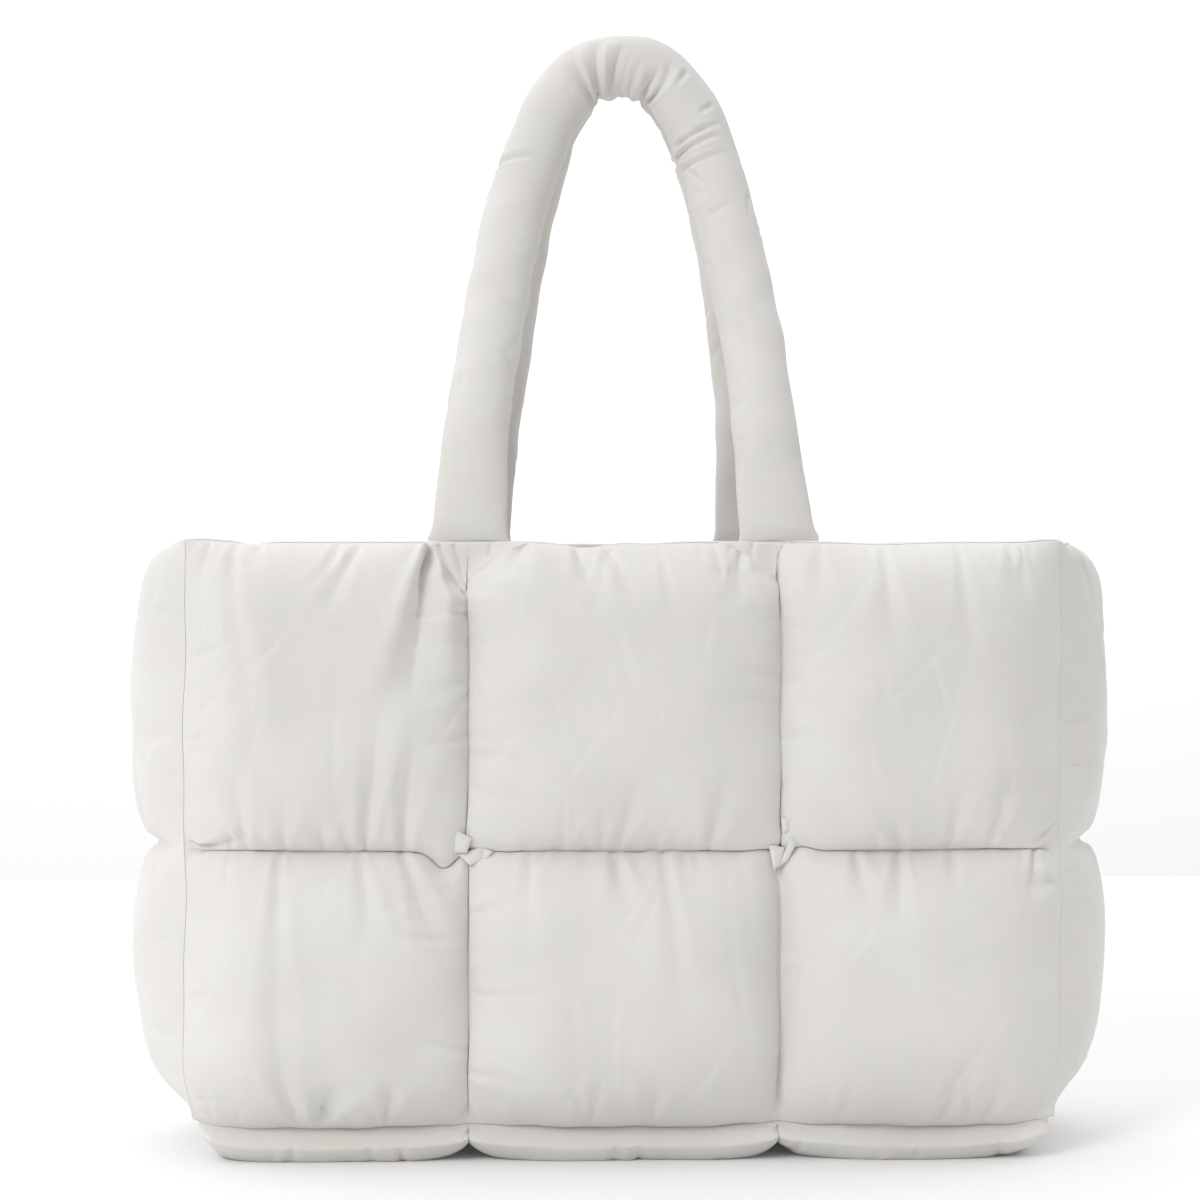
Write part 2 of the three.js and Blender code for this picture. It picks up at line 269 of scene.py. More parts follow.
def puffOf(panel, across, up):
    column, fromLeft, fromRight, _ = squareOf(panel["columns"], across)
    row, fromLow, fromHigh, _ = squareOf(panel["rows"], up)
    patch = footPatch(panel, across, up)
    lastColumn = len(panel["columns"]) - 2
    lastRow = len(panel["rows"]) - 2
    soft = smooth(0, 0.008, patch)

    def besidePatch(distance):
        return (1 - soft) * swell(distance - patch, "quilted") + soft * swell(distance - patch, "foot")

    left = np.where(column == 0, swell(fromLeft, "corner"), besidePatch(fromLeft))
    right = np.where(column == lastColumn, swell(fromRight, "corner"), besidePatch(fromRight))
    low = np.where(row == 0, swell(fromLow, panel["lowSeam"]), swell(fromLow, panel["crossSeam"]))
    high = np.where(row == lastRow, swell(fromHigh, panel["topSeam"]), swell(fromHigh, panel["crossSeam"]))
    drawnIn = 1
    for tuck in panel["tucks"]:
        away = np.hypot(across - panel["columns"][tuck["column"]], up - panel["rows"][1])
        drawnIn = drawnIn - crossing["drawnIn"] * np.exp(-(away / crossing["draw"]) ** 2)
    return panel["puff"] * left * right * low * high * drawnIn


def facingOf(across, up, height):
    # which way the cloth faces at each point of the grid
    points = np.stack([across, up, height], axis=-1)
    alongRow = np.gradient(points, axis=1)
    alongColumn = np.gradient(points, axis=0)
    normal = np.cross(alongRow, alongColumn)
    return normal / np.maximum(np.linalg.norm(normal, axis=-1, keepdims=True), 1e-12)


def blur(field, times):
    for _ in range(times):
        padded = np.pad(field, ((1, 1), (1, 1), (0, 0)), mode="edge")
        field = (padded[:-2, 1:-1] + padded[2:, 1:-1] + padded[1:-1, :-2] + padded[1:-1, 2:]) / 4
    return field


# across a fold, as shares of its width: how narrow it starts and how far it opens, how round its bottom is,
# how broad its near wall is when crisp, and the soft lip on each side
foldShape = {
    "narrow": 0.3, "opening": 1.2, "round": 0.015, "nearWall": 1.7, "lip": 0.3, "lipAt": 2.2, "lipWidth": 0.9,
    "start": 0.07, "startAtRim": 0.02,
}


def foldHeight(panel, fold, across, up):
    # a valley that leaves a seam and opens as it fades into the square
    column, fromLeft, fromRight, width = squareOf(panel["columns"], across)
    row, fromLow, fromHigh, height = squareOf(panel["rows"], up)
    inside = (column == fold["column"]) & (row == fold["row"])
    if fold["side"] in ("top", "bottom"):
        along, size = fromLeft / width, width
        away = (fromHigh if fold["side"] == "top" else fromLow) / height
    else:
        along, size = fromLow / height, height
        away = (fromLeft if fold["side"] == "left" else fromRight) / width
    centre = fold["at"] + fold["slant"] * away + fold.get("bend", 0) * away ** 2
    spread = fold["width"] * (foldShape["narrow"] + foldShape["opening"] * away / fold["reach"])
    off = (along - centre) * size / spread
    off = np.where(off > 0, off / fold.get("gentle", 1), off)
    fade = np.clip(1 - (away / fold["reach"]) ** 2, 0, 1)
    atRim = fold["side"] == "top" and fold["row"] == len(panel["rows"]) - 2
    fade = fade * smooth(0, fold.get("start", foldShape["startAtRim" if atRim else "start"]), away)
    valley = -np.exp(-np.sqrt(off ** 2 + foldShape["round"]))
    if "crisp" in fold:
        # the near wall breaks from the square along a sharp edge
        wedge = -np.clip(1 + off / foldShape["nearWall"], 0, 1)
        valley = np.where(off < 0, valley + fold["crisp"] * (wedge - valley), valley)
    at, width = foldShape["lipAt"], foldShape["lipWidth"]
    lips = foldShape["lip"] * (np.exp(-((off - at) / width) ** 2) + np.exp(-((off + at) / width) ** 2))
    return np.where(inside, fold["depth"] * fade * (valley + lips), 0)


# small puckers where the cloth is eased into its seams, in the same measures as the folds
pucker = {
    "at": (0.06, 0.94), "slant": (-0.3, 0.3), "reach": (0.10, 0.28),
    "width": (0.0014, 0.0034), "depth": (0.0006, 0.0018),
}
moreAtRim = 2


def puckersAlong(panel):
    random = np.random.default_rng(panel["seed"])
    folds = []
    for column in range(len(panel["columns"]) - 1):
        for row in range(len(panel["rows"]) - 1):
            for side in ("top", "bottom", "left", "right"):
                atRim = side == "top" and row == len(panel["rows"]) - 2
                for _ in range(panel["puckers"] + (moreAtRim if atRim else 0)):
                    measures = {name: random.uniform(*span) for name, span in pucker.items()}
                    folds.append({"column": column, "row": row, "side": side, **measures})
    # cloth that hangs slack beside a seam has none
    slack = set()
    for part in panel["slackSeams"]:
        slack.update([(part["seam"], part["row"], "left"), (part["seam"] - 1, part["row"], "right")])
    return [fold for fold in folds if (fold["column"], fold["row"], fold["side"]) not in slack]


# short sharp creases scattered over the squares, most of them hanging down
wrinkle = {
    "lean": 0.55, "length": (0.010, 0.045), "width": (0.0009, 0.0024), "depth": (0.00015, 0.0007), "bend": 0.12,
    "seedAfter": 100,
}


def wrinkleHeight(panel, across, up):
    random = np.random.default_rng(panel["seed"] + wrinkle["seedAfter"])
    dent = np.zeros(across.shape)
    for left, right in zip(panel["columns"][:-1], panel["columns"][1:]):
        for low, high in zip(panel["rows"][:-1], panel["rows"][1:]):
            for _ in range(panel["wrinkles"]):
                x, y = random.uniform(left, right), random.uniform(low, high)
                lean, length = random.normal(0, wrinkle["lean"]), random.uniform(*wrinkle["length"])
                width, depth = random.uniform(*wrinkle["width"]), random.uniform(*wrinkle["depth"])
                bend = random.uniform(-wrinkle["bend"], wrinkle["bend"])
                along = ((across - x) * math.sin(lean) + (up - y) * math.cos(lean)) / length
                beside = (across - x) * math.cos(lean) - (up - y) * math.sin(lean) + bend * length * along ** 2
                fade = np.clip(1 - along ** 2, 0, 1)
                lip = 0.5 * np.exp(-((beside - 2 * width) / (1.5 * width)) ** 2)
                dent += depth * fade * (lip - np.exp(-np.abs(beside) / width))
    return dent


# slow swells and hollows where the wadding has shifted
filling = {"waves": 14, "wavelength": (0.035, 0.09), "evenOut": 0.25, "height": 0.0011}


def unevenFilling(panel, across, up):
    random = np.random.default_rng(panel["seed"])
    height = np.zeros(across.shape)
    for _ in range(filling["waves"]):
        angle = random.uniform(0, math.pi)
        wavelength = random.uniform(*filling["wavelength"])
        phase = random.uniform(0, 2 * math.pi)
        wave = across * math.cos(angle) + up * math.sin(angle)
        height += np.sin(2 * math.pi * wave / wavelength + phase) * wavelength
    return height / filling["evenOut"]


# the cloth is simulated larger than life, because pressure works better at that scale
padCloth = {
    "scale": 20, "quality": 5, "mass": 0.05, "tension": 12, "shear": 4, "bending": 0.08,
    "damping": 5, "bendingDamping": 0.5, "airDamping": 1.5,
    "pressure": 6, "spare": 0.035, "frames": 26, "cap": 0.007,
    "evenOut": 60, "cornerShare": 0.3, "cornerReach": 0.03, "facingSoftness": 6,
}


def inflate(name, start, pinned, cloth):
    scale = cloth["scale"]
    rows, columns = start.shape[:2]
    index = np.arange(rows * columns).reshape(rows, columns)
    mesh = bpy.data.meshes.new(name)
    mesh.from_pydata((start.reshape(-1, 3) * scale).tolist(), [], gridFaces(index, True))
    piece = bpy.data.objects.new(name, mesh)
    bpy.context.scene.collection.objects.link(piece)
    sewn = piece.vertex_groups.new(name="sewn")
    sewn.add(np.flatnonzero(pinned.ravel()).tolist(), 1.0, "REPLACE")
    fabric = piece.modifiers.new("cloth", "CLOTH")
    settings = fabric.settings
    settings.quality = cloth["quality"]
    settings.mass = cloth["mass"]
    settings.tension_stiffness = cloth["tension"]
    settings.compression_stiffness = cloth["tension"]
    settings.shear_stiffness = cloth["shear"]
    settings.bending_stiffness = cloth["bending"]
    settings.tension_damping = cloth["damping"]
    settings.compression_damping = cloth["damping"]
    settings.shear_damping = cloth["damping"]
    settings.bending_damping = cloth["bendingDamping"]
    settings.air_damping = cloth["airDamping"]
    settings.shrink_min = -cloth["spare"]
    settings.vertex_group_mass = "sewn"
    settings.use_pressure = True
    settings.uniform_pressure_force = cloth["pressure"]
    settings.use_pressure_volume = True
    settings.target_volume = 0
    settings.effector_weights.gravity = 0
    fabric.collision_settings.use_collision = False
    fabric.point_cache.frame_start = 1
    fabric.point_cache.frame_end = cloth["frames"]
    scene = bpy.context.scene
    for step in range(1, cloth["frames"] + 1):
        scene.frame_set(step)
    shown = piece.evaluated_get(bpy.context.evaluated_depsgraph_get())
    result = np.empty(len(shown.data.vertices) * 3)
    shown.data.vertices.foreach_get("co", result)
    scene.frame_set(1)
    bpy.data.objects.remove(piece)
    bpy.data.meshes.remove(mesh)
    moved = result.reshape(start.shape) / scale - start
    length = np.linalg.norm(moved, axis=-1, keepdims=True)
    cap = cloth["cap"]
    moved *= cap * np.tanh(length / cap) / np.maximum(length, 1e-9)
    print("   ", name, "moved up to", round(float(length.max()) * 1000, 1), "mm")
    return start + moved


seamFilling = 0.9    # how far the cloth in a seam comes up to that height


def fillSeams(panel, points, bow, xs, ys):
    # the cloth in an inner seam lies as high as the squares on both sides of it touch
    height = points[..., 2] - bow
    for seam in range(1, len(panel["columns"]) - 1):
        x = panel["columns"][seam]
        half = np.full(len(ys), panel["press"])
        for slack in panel["slackSeams"]:
            if slack["seam"] == seam:
                low, high = panel["rows"][slack["row"]], panel["rows"][slack["row"] + 1]
                wide = slack["open"][0] + (slack["open"][1] - slack["open"][0]) * (ys - low) / (high - low)
                half = np.where((ys > low) & (ys < high), wide, half)
        for k in range(len(ys)):
            touching = min(np.interp(x - half[k], xs, height[k]), np.interp(x + half[k], xs, height[k]))
            near = np.abs(xs - x) < half[k]
            height[k] = np.where(near, np.maximum(height[k], seamFilling * touching), height[k])
    for y in panel["rows"][1:-1]:
        half = panel["press"]
        near = np.abs(ys - y) < half
        for k in range(len(xs)):
            column = height[:, k]
            touching = min(np.interp(y - half, ys, column), np.interp(y + half, ys, column))
            height[:, k] = np.where(near, np.maximum(column, seamFilling * touching), column)
    points[..., 2] = bow + height


# how high the cloth stands before it presses, and how far from a seam it is pushed along
pressing = {"from": 0.0010, "to": 0.0070, "reach": 0.028, "endReach": 0.04, "besideFoot": 0.006}


def pressTogether(panel, points, bow):
    # full squares bulge over the seams between them, until they touch
    across, up, height = points[..., 0], points[..., 1], points[..., 2] - bow
    raised = smooth(pressing["from"], pressing["to"], height)
    raised = raised * (1 - smooth(0, pressing["besideFoot"], footPatch(panel, across, up)))
    column, fromLeft, fromRight, _ = squareOf(panel["columns"], across)
    row, fromLow, fromHigh, _ = squareOf(panel["rows"], up)
    lastColumn, lastRow = len(panel["columns"]) - 2, len(panel["rows"]) - 2
    press = np.full(across.shape, panel["press"])
    for slack in panel["slackSeams"]:
        here = (row == slack["row"]) & (np.abs(across - panel["columns"][slack["seam"]]) < 0.04)
        press = np.where(here, panel["press"] * (1 - slack["share"]), press)

    def bulge(distance, amount, reach):
        return amount * raised * (1 - smooth(reach * 0.25, reach, distance))

    edge, reach, endReach = panel["edgePress"], pressing["reach"], pressing["endReach"]
    moveLeft = np.where(column == 0, 0, bulge(fromLeft, press, reach))
    moveRight = np.where(column == lastColumn, 0, bulge(fromRight, press, reach))
    if panel["endPress"] > 0:
        moveLeft = np.where(column == 0, bulge(fromLeft, panel["endPress"], endReach), moveLeft)
        moveRight = np.where(column == lastColumn, bulge(fromRight, panel["endPress"], endReach), moveRight)
    moveDown = np.where(row == 0, bulge(fromLow, edge, endReach), bulge(fromLow, panel["press"], reach))
    topPress = edge if panel["mitredTop"] else 0
    moveUp = np.where(row == lastRow, bulge(fromHigh, topPress, endReach), bulge(fromHigh, panel["press"], reach))
    points[..., 0] += moveRight - moveLeft
    points[..., 1] += moveUp - moveDown


def keepInside(panel, points, columnHome, rowHome, onColumnSeam, onRowSeam):
    # each square stays on its own side of the seams, and each panel on its own side of a mitred corner
    allowance = 0.00010    # half the room between two squares
    columns, rows = np.array(panel["columns"]), np.array(panel["rows"])
    out = np.maximum(points[..., 2], 0)
    left = columns[columnHome] + np.where(columnHome == 0, panel["leftGap"] - out, allowance)
    right = columns[columnHome + 1] - np.where(columnHome == len(columns) - 2, panel["rightGap"] - out, allowance)
    low = rows[rowHome] + np.where(rowHome == 0, tightMitre - out, allowance)
    topOut = tightMitre - out if panel["mitredTop"] else panel["hem"]
    high = rows[rowHome + 1] - np.where(rowHome == len(rows) - 2, topOut, allowance)
    points[..., 0] = np.where(onColumnSeam, points[..., 0], np.clip(points[..., 0], left, right))
    points[..., 1] = np.where(onRowSeam, points[..., 1], np.clip(points[..., 1], low, high))


# how far round a crossing the cloth is twisted and sags, and how far its squares are drawn in
crossing = {"twist": 0.010, "sag": (0.0065, 0.011), "draw": 0.013, "drawnIn": 0.3}


def wander(panel, points):
    # no seam is quite straight, and the cloth is twisted where four squares meet
    across, up = points[..., 0].copy(), points[..., 1].copy()
    left, right = panel["columns"][0], panel["columns"][-1]
    low, high = panel["rows"][0], panel["rows"][-1]
    still = panel["stillEdge"]
    inner = smooth(0, still, across - left) * smooth(0, still, right - across)
    inner = inner * smooth(0, still, up - low) * smooth(0, panel["stillRim"], high - up)
    phase = panel["seed"]
    waves = np.sin(up / 0.021 + phase) + 0.6 * np.sin(up / 0.0093 + 2 * phase)
    points[..., 0] += inner * panel["wobble"] * waves
    waves = np.sin(across / 0.024 + 3 * phase) + 0.5 * np.sin(across / 0.011 + phase)
    points[..., 1] += inner * panel["wobble"] * waves
    for tuck in panel["tucks"]:
        x, y = panel["columns"][tuck["column"]], panel["rows"][1]
        away = np.hypot(across - x, up - y)
        twist = math.radians(tuck["twist"]) * np.exp(-(away / crossing["twist"]) ** 2)
        dx, dy = across - x, up - y
        sideways = (dx - tuck["sag"][0]) / crossing["sag"][0]
        points[..., 1] += tuck["sag"][1] * np.exp(-sideways ** 2 - (dy / crossing["sag"][1]) ** 2)
        points[..., 0] += dx * np.cos(twist) - dy * np.sin(twist) - dx
        points[..., 1] += dx * np.sin(twist) + dy * np.cos(twist) - dy


def clothGrid(panel, cells):
    topInset = tightMitre if panel["mitredTop"] else panel["hem"]
    xs = insetLines(gridLines(panel["columns"], cells), panel["leftGap"], panel["rightGap"])
    ys = insetLines(gridLines(panel["rows"], cells), tightMitre, topInset)
    return xs, ys


def seamPoints(lines, cells):
    return np.arange(len(lines)) % cells == 0


def spreadOver(field, rows, columns):
    # carries a field from a coarse grid over to a finer one of the same cloth
    for axis, count in ((0, rows), (1, columns)):
        place = np.linspace(0, field.shape[axis] - 1, count)
        low = np.minimum(place.astype(int), field.shape[axis] - 2)
        share = (place - low).reshape((-1, 1, 1) if axis == 0 else (1, -1, 1))
        field = np.take(field, low, axis) * (1 - share) + np.take(field, low + 1, axis) * share
    return field


def looseCloth(panel):
    # how far each point of the cloth moves in the simulation, and which way it faces then
    xs, ys = clothGrid(panel, simulatedCells)
    across, up = np.meshgrid(xs, ys)
    sewn = seamPoints(xs, simulatedCells)[None, :] | seamPoints(ys, simulatedCells)[:, None]
    bow = bowOf(panel, across, up)
    puff = puffOf(panel, across, up)
    full = np.stack([across, up, bow + puff], axis=-1)
    change = np.zeros(full.shape)
    _, fromLeft, fromRight, _ = squareOf(panel["columns"], across)
    flat = np.minimum(fromLeft, fromRight) < footPatch(panel, across, up)
    start = np.stack([across, up, bow + puff * panel["startShare"]], axis=-1)
    change = inflate(panel["name"], start, sewn | flat, padCloth) - full
    # the wrinkles are kept, and the square's whole swelling is held to its sewn size
    change[..., 2] -= (1 - panel["keep"]) * blur(change[..., 2:], padCloth["evenOut"])[..., 0]
    edges = [across - panel["columns"][0], panel["columns"][-1] - across, up - panel["rows"][0]]
    if panel["mitredTop"]:
        edges.append(panel["rows"][-1] - up)
    fromCorner = np.minimum.reduce(edges)
    share = padCloth["cornerShare"]
    change *= (share + (1 - share) * smooth(0, padCloth["cornerReach"], fromCorner))[..., None]
    change = np.where(sewn[..., None], 0, change)
    settled = full + change
    normal = blur(facingOf(settled[..., 0], settled[..., 1], settled[..., 2]), padCloth["facingSoftness"])
    return change, normal


def quiltedSheet(panel):
    # the outer cloth of a panel as a grid of points in its own plane, the last number pointing outwards
    cells = panel["cells"]
    xs, ys = clothGrid(panel, cells)
    across, up = np.meshgrid(xs, ys)
    columnHome = np.clip(np.arange(len(xs)) // cells, 0, len(panel["columns"]) - 2)[None, :]
    rowHome = np.clip(np.arange(len(ys)) // cells, 0, len(panel["rows"]) - 2)[:, None]
    onColumnSeam = np.broadcast_to(seamPoints(xs, cells)[None, :], across.shape)
    onRowSeam = np.broadcast_to(seamPoints(ys, cells)[:, None], across.shape)
    sewn = onColumnSeam | onRowSeam

    bow = bowOf(panel, across, up)
    puff = puffOf(panel, across, up)
    change, normal = looseCloth(panel)
    change = np.where(sewn[..., None], 0, blur(spreadOver(change, len(ys), len(xs)), 3))
    normal = spreadOver(normal, len(ys), len(xs))
    points = np.stack([across, up, bow + puff], axis=-1) + change

    dent = np.zeros(across.shape)
    for fold in panel["folds"] + puckersAlong(panel):
        dent += foldHeight(panel, fold, across, up)
    _, fromLeft, fromRight, _ = squareOf(panel["columns"], across)
    nearest = np.minimum(fromLeft, fromRight)
    if len(panel["columns"]) > 2:
        dent *= smooth(0, 0.005, nearest)
    fullness = np.clip(puff / panel["puff"], 0, 1)
    dent += filling["height"] * unevenFilling(panel, across, up) * fullness
    dent += wrinkleHeight(panel, across, up) * np.clip(2 * fullness, 0, 1)
    points += np.where(sewn[..., None], 0, normal * dent[..., None])
    points[..., 2] += footLift(panel, across, up)
    fillSeams(panel, points, bow, xs, ys)
    pressTogether(panel, points, bow)
    points[..., 2] = np.minimum(points[..., 2], panel["flatAt"])
    points[..., 2] = np.where(sewn, points[..., 2], np.maximum(points[..., 2], bow + 0.0002))
    if panel["feet"]:
        # under the feet the cloth is one soft gathered piece, over the column seam too
        patch = footPatch(panel, across, up)
        soft = (smooth(-0.006, 0.001, patch - nearest) * smooth(0, 0.003, patch))[..., None]
        top = np.searchsorted(ys, panel["rows"][-1] - footCloth["softBelow"])
        eased = blur(points[top:], footCloth["softness"])
        eased[-1] = points[-1]
        points[top:] += soft[top:] * (eased - points[top:])
        points[..., 2] -= footGathers(panel, across, up) * np.where(up > panel["rows"][-1] - 1e-6, 0.3, 1)
    if not panel["mitredTop"]:
        # the cloth rolls over the rim
        points[-1, 1:-1, 2] = bow[-1, 1:-1] + 0.7 * (points[-3, 1:-1, 2] - bow[-3, 1:-1])
    keepInside(panel, points, columnHome, rowHome, onColumnSeam, onRowSeam)
    wander(panel, points)
    return points, xs


def liningSheet(panel, xs):
    # the inner cloth, over the same columns of points as the outer one
    sideInset = mitre + bag["sewn"]
    topInset = sideInset if panel["mitredTop"] else panel["hem"]
    shrink = (xs[-1] - xs[0] - 2 * bag["sewn"]) / (xs[-1] - xs[0])
    lines = insetLines(gridLines(panel["rows"], liningCells, 0.5), sideInset, topInset)
    across, up = np.meshgrid(xs * shrink, lines)
    _, fromLeft, fromRight, _ = squareOf(panel["columns"], across)
    _, fromLow, fromHigh, _ = squareOf(panel["rows"], up)
    puff = panel["liningPuff"]
    for distance in (fromLeft, fromRight, fromLow, fromHigh):
        puff = puff * swell(distance - sideInset, "lining")
    depth = bowOf(panel, across, up) - bag["sewn"] - puff
    return np.stack([across, up, depth], axis=-1)


def stitchRows(faces, first, second):
    # joins two runs of points that go the same way and may differ in number
    a = b = 0
    while a + 1 < len(first) or b + 1 < len(second):
        nextA = (a + 1) / max(len(first) - 1, 1)
        nextB = (b + 1) / max(len(second) - 1, 1)
        both = a + 1 < len(first) and b + 1 < len(second) and abs(nextA - nextB) < 1e-9
        if both:
            faces.append((first[a], first[a + 1], second[b + 1], second[b]))
            a, b = a + 1, b + 1
        elif b + 1 >= len(second) or (a + 1 < len(first) and nextA < nextB):
            faces.append((first[a], first[a + 1], second[b]))
            a += 1
        else:
            faces.append((first[a], second[b + 1], second[b]))
            b += 1


tuckCloth = {"points": 9, "sink": 0.0011, "rim": 0.0010, "fullness": 0.0040}


def tuckFlap(corners, x, y, mirror):
    # a small fold of cloth caught in a crossing; its corners run round it, in millimetres from the crossing
    corners = np.array(corners) / 1000
    corners[:, 0] *= mirror
    count = tuckCloth["points"]
    s, t = np.meshgrid(np.linspace(0, 1, count), np.linspace(0, 1, count))
    weights = np.stack([(1 - s) * (1 - t), s * (1 - t), s * t, (1 - s) * t], axis=-1)
    middle = weights @ corners
    plump = (1 - (2 * s - 1) ** 4) * (1 - (2 * t - 1) ** 4)
    upper = middle + np.array([x, y, -tuckCloth["sink"]])
    lower = upper.copy()
    upper[..., 2] += tuckCloth["sink"] * plump
    lower[..., 2] -= tuckCloth["rim"] + tuckCloth["fullness"] * plump
    index = np.arange(count ** 2).reshape(count, count)
    facingOut = (corners[1, 0] - corners[0, 0]) * (corners[2, 1] - corners[0, 1]) > (
        (corners[1, 1] - corners[0, 1]) * (corners[2, 0] - corners[0, 0]))
    under = index.size
    faces = gridFaces(index, facingOut) + gridFaces(index + under, not facingOut)
    for side in (index[0], index[:, -1], index[-1, ::-1], index[::-1, 0]):
        for a, b in zip(side[:-1].tolist(), side[1:].tolist()):
            faces.append((a + under, b + under, b, a) if facingOut else (a, b, b + under, a + under))
    return np.concatenate([upper.reshape(-1, 3), lower.reshape(-1, 3)]), faces


def closePanel(panel):
    outer, xs = quiltedSheet(panel)
    lining = liningSheet(panel, xs)
    points = [outer.reshape(-1, 3), lining.reshape(-1, 3)]
    outerIndex = np.arange(outer.shape[0] * outer.shape[1]).reshape(outer.shape[:2])
    liningIndex = outerIndex.size + np.arange(lining.shape[0] * lining.shape[1]).reshape(lining.shape[:2])
    faces = gridFaces(outerIndex, True) + gridFaces(liningIndex, False)
    stitchRows(faces, liningIndex[0].tolist(), outerIndex[0].tolist())
    stitchRows(faces, outerIndex[:, 0].tolist(), liningIndex[:, 0].tolist())
    stitchRows(faces, liningIndex[:, -1].tolist(), outerIndex[:, -1].tolist())
    if panel["mitredTop"]:
        stitchRows(faces, outerIndex[-1].tolist(), liningIndex[-1].tolist())
    else:
        # the rim is turned over in a round hem
        count = sum(len(block) for block in points)
        last = outerIndex[-1].tolist()
        for step in range(1, 4):
            turn = math.pi * step / 4
            share = (1 - math.cos(turn)) / 2
            row = outer[-1] * (1 - share) + lining[-1] * share
            row[:, 1] += panel["hem"] * math.sin(turn)
            points.append(row)
            hem = list(range(count, count + len(row)))
            stitchRows(faces, last, hem)
            last = hem
            count += len(row)
        stitchRows(faces, last, liningIndex[-1].tolist())
    count = sum(len(block) for block in points)
    border = np.zeros(count, dtype=int)
    for mark, index in ((1, outerIndex), (2, liningIndex)):
        border[index[0]] = border[index[:, 0]] = border[index[:, -1]] = mark
        if panel["mitredTop"]:
            border[index[-1]] = mark
    for tuck in panel["tucks"]:
        x, y = panel["columns"][tuck["column"]], panel["rows"][1]
        for corners in tuck["flaps"]:
            block, flapFaces = tuckFlap(corners, x, y, tuck["mirror"])
            faces += [tuple(count + k for k in face) for face in flapFaces]
            points.append(block)
            count += len(block)
    return np.concatenate(points), faces, np.append(border, np.zeros(count - len(border), dtype=int))


# the bag settles a little: the base seam sags between the crossings, and the rim rises and dips
baseSag = 0.0030
sagHeight = 0.075         # how far up the wall the sag is felt
baseUneven = 0.0003
cornerRipple = 0.0006
cornerDraw = 0.0032       # how far the lower corners are drawn in
rimDepth = 0.045          # how far down the wall the rim's dips are felt
# where on the rim it rises or dips: x, y, how high and how wide
rimDips = [
    (-0.196, -0.060, 0.0016, 0.014),
    (-0.172, -0.064, -0.0016, 0.006),
    (-0.018, -0.064, -0.0030, 0.013),
    (0.012, -0.064, -0.0010, 0.010),
    (0.120, -0.064, -0.0010, 0.018),
    (0.198, -0.060, 0.0014, 0.010),
    (0.2125, -0.056, -0.0020, 0.007),
    (-0.215, 0.000, -0.0030, 0.030),
    (0.215, 0.010, -0.0035, 0.030),
    (0.020, 0.064, -0.0024, 0.016),
    (-0.140, 0.064, -0.0014, 0.016),
    (0.150, 0.064, 0.0008, 0.018),
]


def settle(places):
    x, y, z = places.T
    sag = np.zeros(len(x))
    for low, high in zip(faceColumns[:-1], faceColumns[1:]):
        share = np.clip((x - low) / (high - low), 0, 1)
        sag += baseSag * (4 * share * (1 - share)) ** 0.7
    below = np.clip(z / bag["baseSeam"], 0, 1)
    z = z - sag * below * (1 - smooth(bag["baseSeam"], sagHeight, z))
    uneven = np.sin(x / 0.0085 + 1) + 0.7 * np.sin(x / 0.0037) + 0.8 * np.sin(x / 0.019 + 2)
    z = z + baseUneven * uneven * np.exp(-((z - bag["baseSeam"]) / 0.009) ** 2)
    lift = np.zeros(len(x))
    for dipX, dipY, height, radius in rimDips:
        away = np.hypot(x - dipX, y - dipY)
        lift += height * np.exp(-(away / radius) ** 2)
    z = z + lift * smooth(rimHeight - rimDepth, rimHeight, z)
    # the corner seams waver, and the lower corners are drawn in
    ripple = np.sin(z / 0.021 + 2) + 0.6 * np.sin(z / 0.0087)
    x = x + cornerRipple * ripple * np.exp(-((np.abs(x) - faceWidth / 2) / 0.012) ** 2)
    fromCorner = np.hypot(np.abs(x) - faceWidth / 2, z - bag["baseSeam"])
    drawn = cornerDraw * np.exp(-(fromCorner / 0.016) ** 2)
    return np.stack([x - np.sign(x) * drawn, y, z + 0.5 * drawn * smooth(0, 0.012, z)], axis=-1)


def placePanel(panel, points):
    # from the panel's own plane to its place on the bag
    across, up, out = points.T
    turn = panel["turn"]
    if turn == "base":
        return np.stack([across, up * -1, bag["baseSeam"] - out], axis=-1)
    depth = -(panel["distance"] + out)
    x = across * math.cos(turn) - depth * math.sin(turn)
    y = across * math.sin(turn) + depth * math.cos(turn)
    return np.stack([x, y, bag["baseSeam"] + up], axis=-1)


def dressPiece(name, node, places, faces, border, cloth, material):
    mesh = bpy.data.meshes.new(name)
    mesh.from_pydata(places.tolist(), [], faces)
    mesh.polygons.foreach_set("use_smooth", [True] * len(mesh.polygons))
    # the edges along a border are sharp, so each seam stays a thin line
    ends = np.empty(2 * len(mesh.edges), dtype=np.int32)
    mesh.edges.foreach_get("vertices", ends)
    first, second = border[ends[::2]], border[ends[1::2]]
    mesh.edges.foreach_set("use_edge_sharp", ((first > 0) & (first == second)).tolist())
    layer = mesh.uv_layers.new(name="cloth")
    corners = np.empty(len(mesh.loops), dtype=np.int32)
    mesh.loops.foreach_get("vertex_index", corners)
    layer.data.foreach_set("uv", cloth[corners].ravel())
    mesh.materials.append(material)
    mesh.update()
    piece = bpy.data.objects.new(name, mesh)
    bpy.context.scene.collection.objects.link(piece)
    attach(piece, "root")
    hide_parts(node)


def makePanel(panel):
    points, faces, border = closePanel(panel)
    places = settle(placePanel(panel, points))
    cloth = points[:, :2] + np.array(panel["clothOffset"])
    dressPiece(panel["name"], panel["node"], places, faces, border, cloth, quiltedCotton)
    print("  ", panel["name"], len(faces), "faces")


foldColumns = ("column", "row", "side", "at", "slant", "reach", "width", "depth")


